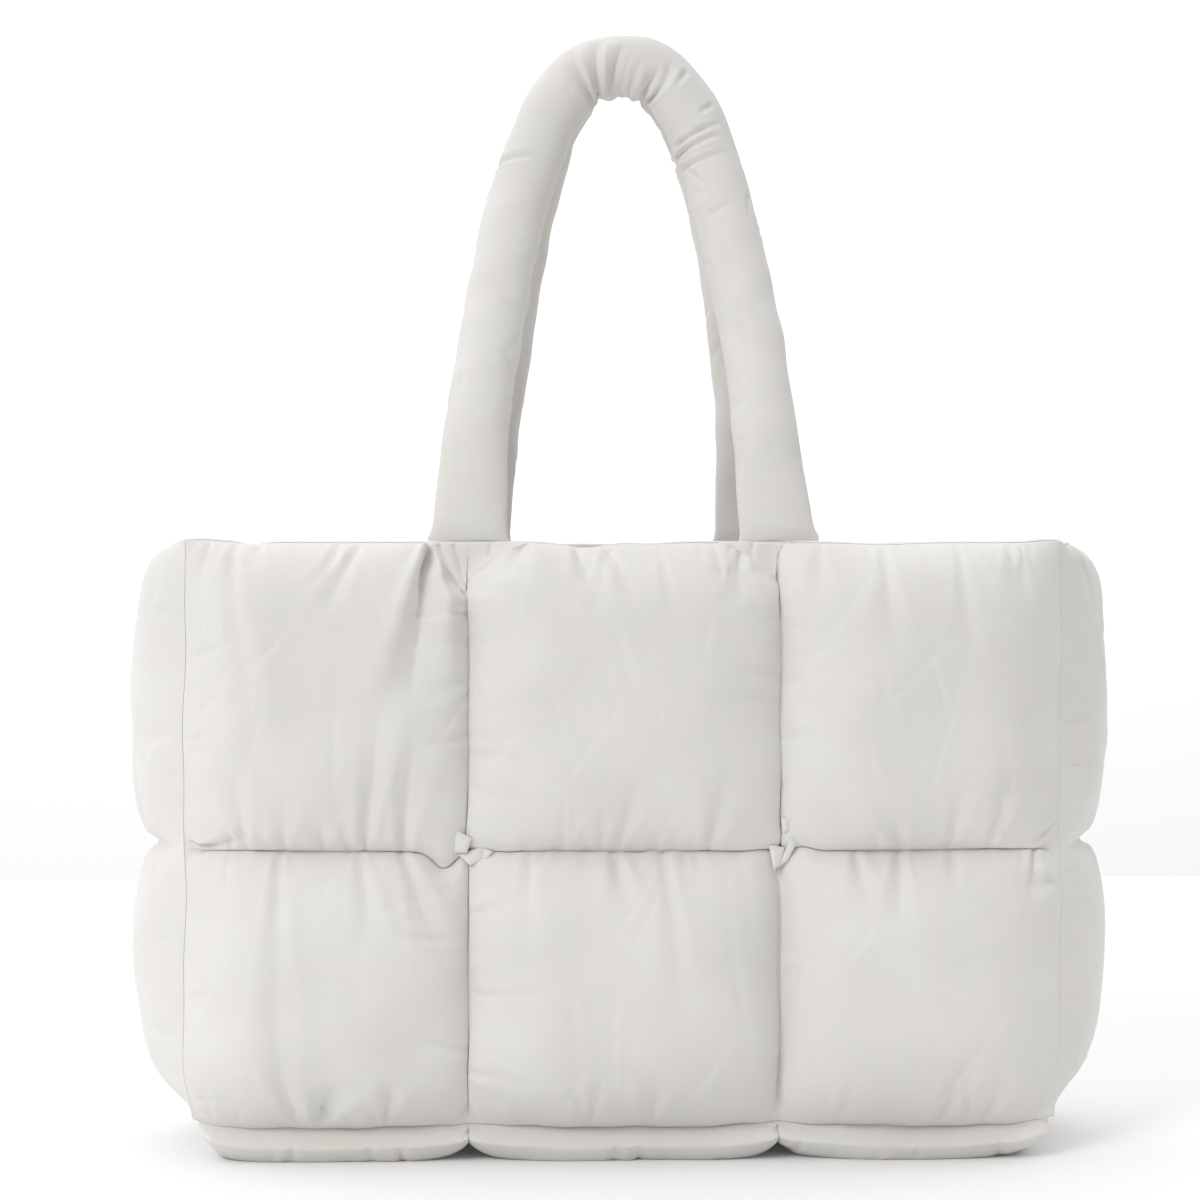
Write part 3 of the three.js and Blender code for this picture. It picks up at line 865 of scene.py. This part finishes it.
def foldRows(*rows):
    # what follows the eight columns is a fold's own extras
    folds = []
    for row in rows:
        extras = row[len(foldColumns)] if len(row) > len(foldColumns) else {}
        folds.append({**dict(zip(foldColumns, row)), **extras})
    return folds


# the folds are listed one by one, each from one seam of a square: at and slant are shares of the square along
# that seam, reach is a share of the square away from it, width and depth are metres
frontFolds = foldRows(
    (0, 1, "top", 0.875, -0.14, 0.54, 0.0062, 0.0088, {"gentle": 0.7, "crisp": 0.8}),
    (0, 1, "top", 0.885, 0.42, 0.26, 0.0026, 0.0030),
    (0, 1, "top", 0.62, -0.45, 0.26, 0.0032, 0.0030),
    (0, 1, "top", 0.55, -0.30, 0.16, 0.0028, 0.0022),
    (0, 1, "top", 0.18, 0.15, 0.95, 0.0050, 0.0016, {"start": 0.1}),
    (0, 1, "left", 0.02, 0.22, 0.26, 0.0022, 0.0038),
    (0, 1, "bottom", 0.24, -0.15, 0.34, 0.0040, 0.0026),
    (0, 1, "bottom", 0.36, 0.1, 0.20, 0.0030, 0.0022),
    (0, 1, "bottom", 0.50, 0.0, 0.16, 0.0030, 0.0020),
    (0, 1, "bottom", 0.64, 0.12, 0.55, 0.0042, 0.0028),
    (0, 1, "bottom", 0.77, 0.1, 0.45, 0.0040, 0.0026),
    (1, 1, "top", 0.17, -0.35, 0.14, 0.0035, 0.0045, {"gentle": 1.8}),
    (1, 1, "top", 0.34, 0.35, 0.17, 0.0030, 0.0045, {"gentle": 1.6}),
    (1, 1, "top", 0.44, 0.45, 0.22, 0.0032, 0.0026),
    (1, 1, "top", 0.88, -0.20, 0.22, 0.0030, 0.0034),
    (1, 1, "bottom", 0.47, 0.30, 0.26, 0.0034, 0.0020),
    (1, 1, "bottom", 0.76, 0.20, 0.30, 0.0036, 0.0022),
    (2, 1, "top", 0.36, 0.05, 0.36, 0.0036, 0.0028),
    (2, 1, "top", 0.62, 0.04, 0.42, 0.0034, 0.0018),
    (2, 1, "top", 0.80, 0.10, 0.20, 0.0034, 0.0016),
    (2, 1, "bottom", 0.44, -0.40, 0.20, 0.0034, 0.0026),
    (0, 0, "top", 0.35, 0.0, 0.85, 0.0045, 0.0020),
    (0, 0, "top", 0.62, 0.15, 0.35, 0.0034, 0.0026),
    (0, 0, "top", 0.76, 0.35, 0.42, 0.0036, 0.0034),
    (0, 0, "bottom", 0.47, 0.30, 0.20, 0.0034, 0.0062, {"gentle": 1.7}),
    (0, 0, "bottom", 0.70, 0.20, 0.22, 0.0030, 0.0032),
    (0, 0, "bottom", 0.40, -0.15, 0.55, 0.0050, 0.0022),
    (1, 0, "top", 0.20, 0.0, 0.45, 0.0036, 0.0016),
    (1, 0, "top", 0.46, 0.25, 0.24, 0.0034, 0.0030),
    (1, 0, "top", 0.62, 0.10, 0.70, 0.0040, 0.0018),
    (1, 0, "bottom", 0.58, 0.1, 0.26, 0.0036, 0.0020),
    (2, 0, "top", 0.26, 0.15, 0.22, 0.0032, 0.0028),
    (2, 0, "top", 0.42, -0.10, 0.28, 0.0034, 0.0030),
    (2, 0, "bottom", 0.55, 0.35, 0.28, 0.0036, 0.0024),
    (2, 0, "bottom", 0.72, 0.25, 0.20, 0.0032, 0.0022),
)
backFolds = foldRows(
    (0, 1, "top", 0.82, -0.25, 0.36, 0.0045, 0.0060, {"gentle": 1.8}),
    (0, 1, "top", 0.44, 0.15, 0.30, 0.0036, 0.0028),
    (0, 1, "bottom", 0.60, 0.15, 0.42, 0.0040, 0.0026),
    (1, 1, "top", 0.25, -0.2, 0.24, 0.0034, 0.0034),
    (1, 1, "top", 0.66, 0.25, 0.32, 0.0036, 0.0030),
    (1, 1, "bottom", 0.38, -0.15, 0.36, 0.0036, 0.0022),
    (2, 1, "top", 0.20, 0.3, 0.34, 0.0044, 0.0052, {"gentle": 1.6}),
    (2, 1, "bottom", 0.52, 0.1, 0.40, 0.0038, 0.0024),
    (0, 0, "top", 0.50, 0.1, 0.40, 0.0036, 0.0026),
    (0, 0, "bottom", 0.36, -0.2, 0.26, 0.0034, 0.0040),
    (1, 0, "top", 0.30, -0.1, 0.34, 0.0036, 0.0026),
    (1, 0, "bottom", 0.60, 0.2, 0.26, 0.0034, 0.0030),
    (2, 0, "top", 0.64, 0.15, 0.44, 0.0038, 0.0028),
    (2, 0, "bottom", 0.46, -0.25, 0.24, 0.0034, 0.0038),
)
sideFolds = foldRows(
    (0, 1, "top", 0.34, 0.12, 0.40, 0.0040, 0.0030),
    (0, 1, "top", 0.68, -0.15, 0.28, 0.0034, 0.0026),
    (0, 1, "bottom", 0.58, -0.08, 0.42, 0.0040, 0.0030),
    (0, 0, "top", 0.42, 0.1, 0.34, 0.0036, 0.0028),
    (0, 0, "bottom", 0.62, -0.15, 0.30, 0.0036, 0.0034),
)
handleFeet = [
    {"at": -columnSeam, "side": -1, "half": 0.017, "drop": 0.027, "taper": 1.2},
    {"at": -columnSeam, "side": 1, "half": 0.027, "drop": 0.028, "taper": 2.6},
    {"at": columnSeam, "side": -1, "half": 0.024, "drop": 0.026, "taper": 2.0},
    {"at": columnSeam, "side": 1, "half": 0.002, "drop": 0.012, "taper": 1.4},
]
# from and to are across the face and down from the rim
footFolds = [
    {"from": (-0.0855, 0.001), "to": (-0.0740, 0.029), "width": 0.0012, "depth": 0.0024},
    {"from": (-0.0785, 0.001), "to": (-0.0735, 0.019), "width": 0.0010, "depth": 0.0016},
    {"from": (-0.0625, 0.000), "to": (-0.0628, 0.008), "width": 0.0008, "depth": 0.0018},
    {"from": (0.0400, 0.002), "to": (0.0440, 0.022), "width": 0.0013, "depth": 0.0026},
    {"from": (0.0500, 0.004), "to": (0.0460, 0.022), "width": 0.0011, "depth": 0.0020},
    {"from": (0.0605, 0.000), "to": (0.0590, 0.009), "width": 0.0009, "depth": 0.0016},
]
# the corners of each small fold lie right, up and out of the crossing, in millimetres
leftTuck = {"column": 1, "twist": 8, "sag": (-0.011, -0.007), "mirror": 1, "flaps": [
    [(-7.9, -0.9, 15.2), (-0.5, -0.5, 16.6), (1.6, 6.0, 16.8), (-6.0, 10.4, 17.6)],
    [(-5.3, -1.2, 14.2), (0.9, -6.6, 15.7), (8.0, -4.0, 14.2), (7.2, 2.2, 13.7)],
    [(6.6, -3.4, 15.2), (8.4, -3.6, 15.7), (11.6, 0.0, 16.2), (7.0, 1.6, 15.2)],
]}
rightTuck = {"column": 2, "twist": -14, "sag": (0.010, 0.003), "mirror": 1, "flaps": [
    [(1.0, 8.6, 16.2), (7.2, 7.6, 13.8), (6.4, 14.2, 16.2), (0.2, 15.4, 17.4)],
    [(-0.8, -7.6, 15.2), (3.2, -5.0, 15.2), (8.8, 5.8, 15.2), (5.6, 8.4, 15.7)],
    [(-3.4, -8.6, 16.7), (0.8, -6.6, 14.7), (2.4, 1.2, 13.7), (-5.4, 3.0, 15.2)],
]}

facePanel = {
    "columns": faceColumns, "rows": wallRows, "puff": 0.0275, "bow": 0.005, "rimBow": 0.0,
    "lowSeam": "corner", "crossSeam": "quilted", "topSeam": "rim", "mitredTop": False, "flatAt": 1.0,
    "liningPuff": 0.007, "hem": 0.0009, "startShare": 0.9, "puckers": 5, "wrinkles": 16, "keep": 0.5,
    "cells": 96, "leftGap": mitre, "rightGap": mitre, "press": 0.0042, "edgePress": 0.0, "endPress": 0.0,
    "tucks": [], "slackSeams": [], "wobble": 0.0004, "stillEdge": 0.03, "stillRim": 0.02,
    "feet": handleFeet, "gathers": footFolds,
    "distance": bag["depth"] / 2,
}
sidePanel = {
    **facePanel, "columns": depthSeams, "puff": 0.013, "bow": 0.019, "rimBow": 0.011, "keep": 0.15,
    "crossSeam": "gusset", "press": 0.0015, "feet": [], "distance": faceWidth / 2,
}
basePanel = {
    **facePanel, "columns": faceColumns, "rows": depthSeams, "puff": 0.026, "bow": 0.0, "keep": 0.3,
    "lowSeam": "base", "topSeam": "base", "mitredTop": True, "flatAt": bag["baseSeam"], "feet": [],
    "press": 0.0050, "edgePress": 0.011, "endPress": 0.003, "puckers": 4, "wrinkles": 8,
    "leftGap": tightMitre, "rightGap": tightMitre,
}
panels = [
    {**facePanel, "name": "front_quilting", "node": "front_panel", "turn": 0.0, "folds": frontFolds,
     "tucks": [leftTuck, rightTuck], "cells": 118,
     "slackSeams": [{"seam": 2, "row": 0, "share": 0.62, "open": (0.0012, 0.0046)}],
     "rightGap": tightMitre, "seed": 11, "clothOffset": (0, 0)},
    {**facePanel, "name": "back_quilting", "node": "back_panel", "turn": math.pi, "folds": backFolds,
     "tucks": [{**rightTuck, "column": 1, "mirror": -1, "twist": 14, "sag": (-0.010, 0.003)},
               {**leftTuck, "column": 2, "mirror": -1, "twist": -8, "sag": (0.011, -0.007)}],
     "seed": 23, "clothOffset": (1, 0)},
    {**sidePanel, "name": "left_side_quilting", "node": "left_gusset", "turn": -math.pi / 2, "folds": sideFolds,
     "seed": 37, "clothOffset": (2, 0)},
    {**sidePanel, "name": "right_side_quilting", "node": "right_gusset", "turn": math.pi / 2, "folds": sideFolds,
     "leftGap": tightMitre, "seed": 41, "clothOffset": (3, 0)},
    {**basePanel, "name": "base_quilting", "node": "bottom_panel", "turn": "base", "folds": [],
     "seed": 53, "clothOffset": (4, 0)},
]
for panel in panels:
    makePanel(panel)
print("3: the quilted panels are sewn")


# the route runs up each leg: shares of its rise and its lean, then the left and right half spans in metres
handle = {
    "foot": rimHeight + bag["gap"],
    "rise": 0.230,
    "rimDepth": 0.063,
    "topDepth": 0.015,
    "width": 0.0295,
    "thickness": 0.027,
    "footWidth": 0.0345,
    "footThickness": 0.009,
    "footHeight": 0.070,
    "flareHeight": 0.008,     # just above the rim the foot widens and thins
    "flareWidth": 0.004,
    "flareThinning": 0.0044,
    "rings": 520,
    "sides": 96,
    "topCrowding": 0.45,
    "endRings": (0.0006, 0.0018),    # close rings keep the sewn end of each foot crisp
    "lumps": 18,
    "lumpHeight": 0.0020,
    "smallCreases": 70,
    "creaseLip": 0.22,
    "route": [
        (0, 0, {"front": (0.0722, 0.0722), "back": (0.0674, 0.0720)}),
        (0.09, 0.03, {"front": (0.0708, 0.0697), "back": (0.0668, 0.0698)}),
        (0.2, 0.12, {"front": (0.0693, 0.0672), "back": (0.0655, 0.0660)}),
        (0.3, 0.24, {"front": (0.0665, 0.0645), "back": (0.0636, 0.0625)}),
        (0.4, 0.38, {"front": (0.0631, 0.0618), "back": (0.0611, 0.0588)}),
        (0.51, 0.54, {"front": (0.0590, 0.0575), "back": (0.0580, 0.0548)}),
        (0.61, 0.68, {"front": (0.0545, 0.0529), "back": (0.0540, 0.0505)}),
        (0.72, 0.82, {"front": (0.0485, 0.0472), "back": (0.0480, 0.0455)}),
        (0.82, 0.92, {"front": (0.0408, 0.0405), "back": (0.0410, 0.0390)}),
        (0.91, 0.98, {"front": (0.0313, 0.0312), "back": (0.0315, 0.0300)}),
        (0.975, 1, {"front": (0.0190, 0.0190), "back": (0.0190, 0.0185)}),
    ],
}


def creaseRows(*rows):
    creases = []
    for fromShare, fromTurn, toShare, toTurn, width, depth, *bend in rows:
        creases.append({
            "from": (fromShare, fromTurn), "to": (toShare, toTurn),
            "width": width, "depth": depth, "bend": bend[0] if bend else 0,
        })
    return creases


# creases across the tube, from one end to the other: each end is a share of the tube's length and a turn round
# it in degrees, 0 on the side that faces the loop and 90 on the side that faces out; then the width, the depth
# (below 0 for a ridge) and how far it bends
handleCreases = creaseRows(
    (0.353, 172, 0.3665, 80, 0.0014, 0.0024),
    (0.4520, 5, 0.4640, 150, 0.0030, 0.0038),
    (0.4585, 15, 0.4700, 140, 0.0024, -0.0018),
    (0.4660, -60, 0.4660, 40, 0.0040, 0.0026),
    (0.4670, 10, 0.4830, 145, 0.0032, 0.0046),
    (0.4740, 20, 0.4925, 140, 0.0024, -0.0020),
    (0.4830, 15, 0.5020, 125, 0.0030, 0.0040),
    (0.4960, 5, 0.5090, 110, 0.0026, 0.0024),
    (0.5110, 5, 0.5170, 95, 0.0026, 0.0020),
    (0.5310, -60, 0.5310, 45, 0.0040, 0.0028),
    (0.5320, 25, 0.5370, 100, 0.0028, 0.0038),
    (0.5470, 12, 0.5390, 122, 0.0018, 0.0036, 0.0030),
    (0.5535, 128, 0.5570, 92, 0.0012, 0.0018),
    (0.5890, 132, 0.5915, 98, 0.0012, 0.0016),
    (0.6100, 30, 0.6060, 140, 0.0012, 0.0024),
    (0.6200, -10, 0.6170, 126, 0.0012, 0.0030),
    (0.6350, 15, 0.6345, 132, 0.0012, 0.0018),
    (0.4000, -10, 0.4100, 60, 0.0060, 0.0010),
)
# between which values the many small ones lie
smallCrease = {
    "at": (0.04, 0.96), "slant": (-0.03, 0.03), "round": (-60, 60),
    "width": (0.0010, 0.0024), "depth": (0.0003, 0.0012),
}


def handlePoints(which, raised):
    def place(rise, lean, span):
        depth = handle["rimDepth"] + (handle["topDepth"] - handle["rimDepth"]) * lean
        return (span, -depth, handle["foot"] + (handle["rise"] + raised * rise) * rise)

    left = [place(rise, lean, -spans[which][0]) for rise, lean, spans in handle["route"]]
    right = [place(rise, lean, spans[which][1]) for rise, lean, spans in handle["route"]]
    return np.array(left + [place(1, 1, 0)] + right[::-1])


def routeThrough(points, steps=24):
    # a centripetal curve through the points, then even steps of length
    knots = np.vstack([2 * points[0] - points[1], points, 2 * points[-1] - points[-2]])
    curve = []
    for k in range(1, len(knots) - 2):
        a, b, c, d = knots[k - 1:k + 3]
        ta = 0.0
        tb = ta + np.linalg.norm(b - a) ** 0.5
        tc = tb + np.linalg.norm(c - b) ** 0.5
        td = tc + np.linalg.norm(d - c) ** 0.5
        for t in np.linspace(tb, tc, steps, endpoint=False):
            ab = ((tb - t) * a + (t - ta) * b) / (tb - ta)
            bc = ((tc - t) * b + (t - tb) * c) / (tc - tb)
            cd = ((td - t) * c + (t - tc) * d) / (td - tc)
            abc = ((tc - t) * ab + (t - ta) * bc) / (tc - ta)
            bcd = ((td - t) * bc + (t - tb) * cd) / (td - tb)
            curve.append(((tc - t) * abc + (t - tb) * bcd) / (tc - tb))
    curve.append(points[-1])
    curve = np.array(curve)
    length = np.append(0, np.cumsum(np.linalg.norm(np.diff(curve, axis=0), axis=1)))
    even = np.linspace(0, 1, handle["rings"] + 1)
    shares = even + handle["topCrowding"] * np.sin(2 * np.pi * even) / (2 * np.pi)
    edge = np.array(handle["endRings"])
    shares = np.concatenate([[0], edge, shares[1:-1], 1 - edge[::-1], [1]])
    even = shares * length[-1]
    centres = np.stack([np.interp(even, length, curve[:, axis]) for axis in range(3)], axis=-1)
    return centres, shares, length[-1]


def creaseDepth(creases, share, turn, length, mirrored):
    radius = handle["width"] / 2
    dent = np.zeros(np.broadcast(share, turn).shape)
    for crease in creases:
        (fromShare, fromTurn), (toShare, toTurn) = crease["from"], crease["to"]
        if mirrored:
            fromShare, toShare = 1 - fromShare, 1 - toShare
        middle = math.radians(fromTurn + toTurn) / 2
        near = (turn - middle + math.pi) % (2 * math.pi) - math.pi + middle
        start = np.array([fromShare * length, math.radians(fromTurn) * radius])
        run = np.array([toShare * length, math.radians(toTurn) * radius]) - start
        x, y = share * length - start[0], near * radius - start[1]
        along = np.clip((x * run[0] + y * run[1]) / (run @ run), 0, 1)
        bend = crease["bend"] * 4 * along * (1 - along)
        away = np.hypot(x - along * run[0] - bend, y - along * run[1]) / crease["width"]
        valley = -np.exp(-away)
        lip = handle["creaseLip"] * np.exp(-((away - foldShape["lipAt"]) / foldShape["lipWidth"]) ** 2)
        dent += crease["depth"] * (1 - along ** 3) * (valley + lip)
    return dent


def makeHandle(name, node, turn, which, raised, mirrored, seed):
    centres, shares, length = routeThrough(handlePoints(which, raised))
    along = np.gradient(centres, axis=0)
    along /= np.linalg.norm(along, axis=1, keepdims=True)
    backwards = np.array([0.0, 1.0, 0.0])
    depthAxis = backwards - along * along[:, 1:2]
    depthAxis /= np.linalg.norm(depthAxis, axis=1, keepdims=True)
    widthAxis = np.cross(depthAxis, along)
    rings, sides = len(shares) - 1, handle["sides"]
    share = shares[:, None]
    angle = (2 * np.pi * np.arange(sides) / sides)[None, :]
    fromFoot = np.minimum(share, 1 - share) * length
    full = smooth(0, handle["footHeight"], fromFoot)
    flare = np.clip(1 - fromFoot / handle["flareHeight"], 0, 1) ** 2
    width = handle["footWidth"] + (handle["width"] - handle["footWidth"]) * full
    halfWidth = (width + handle["flareWidth"] * flare) / 2
    thickness = handle["footThickness"] + (handle["thickness"] - handle["footThickness"]) * full ** 0.8
    halfThickness = (thickness - handle["flareThinning"] * flare) / 2

    # the tube is never evenly stuffed
    random = np.random.default_rng(seed)
    lump = np.zeros((rings + 1, sides))
    for _ in range(handle["lumps"]):
        waves, around = random.integers(4, 22), random.integers(0, 4)
        phase, twist = random.uniform(0, 2 * math.pi, 2)
        lump += np.sin(2 * math.pi * waves * share + phase) * np.cos(around * angle + twist) / handle["lumps"]
    creases = list(handleCreases)
    for _ in range(handle["smallCreases"]):
        at, start = random.uniform(*smallCrease["at"]), random.uniform(-180, 180)
        end = (at + random.uniform(*smallCrease["slant"]), start + random.uniform(*smallCrease["round"]))
        creases.append({
            "from": (at, start), "to": end, "width": random.uniform(*smallCrease["width"]),
            "depth": random.uniform(*smallCrease["depth"]), "bend": 0,
        })
    puff = (creaseDepth(creases, share, -angle, length, mirrored) + handle["lumpHeight"] * lump) * full
    section = np.stack([(halfWidth + puff) * np.cos(angle), (halfThickness + puff) * np.sin(angle)], axis=-1)
    points = centres[:, None, :] + section[..., :1] * widthAxis[:, None, :]
    points = points + section[..., 1:] * depthAxis[:, None, :]
    points[[0, -1], :, 2] = handle["foot"]
    x = points[..., 0] * math.cos(turn) - points[..., 1] * math.sin(turn)
    y = points[..., 0] * math.sin(turn) + points[..., 1] * math.cos(turn)
    places = np.stack([x, y, points[..., 2]], axis=-1).reshape(-1, 3)
    index = np.arange((rings + 1) * sides).reshape(rings + 1, sides)
    wrapped = np.concatenate([index, index[:, :1]], axis=1)
    faces = gridFaces(wrapped, True)
    places = np.vstack([places, places[:sides].mean(axis=0), places[-sides:].mean(axis=0)])
    for k in range(sides):
        after = (k + 1) % sides
        faces.append((int(index[0, after]), int(index[0, k]), len(places) - 2))
        faces.append((int(index[-1, k]), int(index[-1, after]), len(places) - 1))
    cloth = np.stack([np.broadcast_to(angle * handle["width"] / 2, (rings + 1, sides)),
                      np.broadcast_to(share * length, (rings + 1, sides))], axis=-1).reshape(-1, 2)
    cloth = np.vstack([cloth, cloth[:1], cloth[-1:]]) + np.array([6 + turn, 0])
    border = np.zeros(len(places), dtype=int)
    border[index[0]], border[index[-1]] = 1, 2
    dressPiece(name, node, places, faces, border, cloth, handleCotton)
    print("  ", name, len(faces), "faces, tube", round(length, 3), "m long")


makeHandle("front_handle_tube", "front_handle", 0.0, "front", 0.0, False, 71)
makeHandle("back_handle_tube", "back_handle", math.pi, "back", 0.0035, True, 72)
print("4: the handles are rolled")


studio = {
    "tableSize": 2.4,
    "tableColour": (0.88, 0.88, 0.88),
    "tableGlow": 0.02,
    "domeDim": 0.16,     # the white dome is dimmest low in front of the bag, white behind it and brightest above
    "domeFull": 1.33,
    "domeTowards": (-0.1, 0.8, 1.3),
    "domeRange": (-0.3, 1.1),
    "keyLight": {"place": (-1.7, -2.45, 2.1), "size": 1.2, "power": 43},
    "fillLight": {"place": (1.6, -2.4, 1.0), "size": 2.0, "power": 1.5},
}
photoView = {
    "azimuth": -1.5,
    "eyeHeight": 0.275,
    "distance": 1.45,
    "lens": 89.2,
    "shift": (-0.0167, -0.0258),
}


def makeTable():
    half = studio["tableSize"] / 2
    mesh = bpy.data.meshes.new("white_table")
    mesh.from_pydata([(-half, -half, 0), (half, -half, 0), (half, half, 0), (-half, half, 0)], [], [(0, 1, 2, 3)])
    paper = bpy.data.materials.new("white_paper")
    paper.use_nodes = True
    shader = paper.node_tree.nodes["Principled BSDF"]
    setSockets(shader, {
        "Base Color": (*studio["tableColour"], 1), "Roughness": 0.9, "Specular IOR Level": 0.1,
        "Emission Color": (1, 1, 1, 1), "Emission Strength": studio["tableGlow"],
    })
    mesh.materials.append(paper)
    table = bpy.data.objects.new("white_table", mesh)
    bpy.context.scene.collection.objects.link(table)


def makeLight(name, light, target):
    data = bpy.data.lights.new(name, "AREA")
    data.size = light["size"]
    data.energy = light["power"]
    lamp = bpy.data.objects.new(name, data)
    lamp.location = light["place"]
    lamp.rotation_euler = (Vector(target) - Vector(light["place"])).to_track_quat("-Z", "Y").to_euler()
    bpy.context.scene.collection.objects.link(lamp)


def makeDome():
    dome = bpy.data.worlds.new("white_dome")
    dome.use_nodes = True
    tree = dome.node_tree
    background = tree.nodes["Background"]
    background.inputs["Color"].default_value = (1, 1, 1, 1)
    direction = addNode(tree, "ShaderNodeTexCoord")
    towards = addNode(tree, "ShaderNodeVectorMath", {1: studio["domeTowards"]}, operation="DOT_PRODUCT")
    dimmest, brightest = studio["domeRange"]
    glow = addNode(tree, "ShaderNodeMapRange", {
        "From Min": dimmest, "From Max": brightest,
        "To Min": studio["domeDim"], "To Max": studio["domeFull"],
    })
    tree.links.new(direction.outputs["Generated"], towards.inputs[0])
    tree.links.new(towards.outputs["Value"], glow.inputs["Value"])
    tree.links.new(glow.outputs["Result"], background.inputs["Strength"])
    bpy.context.scene.world = dome


def makeCamera():
    azimuth = math.radians(photoView["azimuth"])
    data = bpy.data.cameras.new("photo_view")
    data.sensor_width = 36
    data.lens = photoView["lens"]
    data.shift_x, data.shift_y = photoView["shift"]
    camera = bpy.data.objects.new("photo_view", data)
    place = Vector((math.sin(azimuth), -math.cos(azimuth), 0)) * photoView["distance"]
    place.z = photoView["eyeHeight"]
    camera.location = place
    camera.rotation_euler = (math.radians(90), 0, azimuth)
    bpy.context.scene.collection.objects.link(camera)
    bpy.context.scene.camera = camera


makeTable()
for name in ("keyLight", "fillLight"):
    makeLight(name, studio[name], (0, 0, 0.25))
makeDome()
bpy.context.scene.view_settings.view_transform = "Standard"
makeCamera()
print("5: the studio is lit")
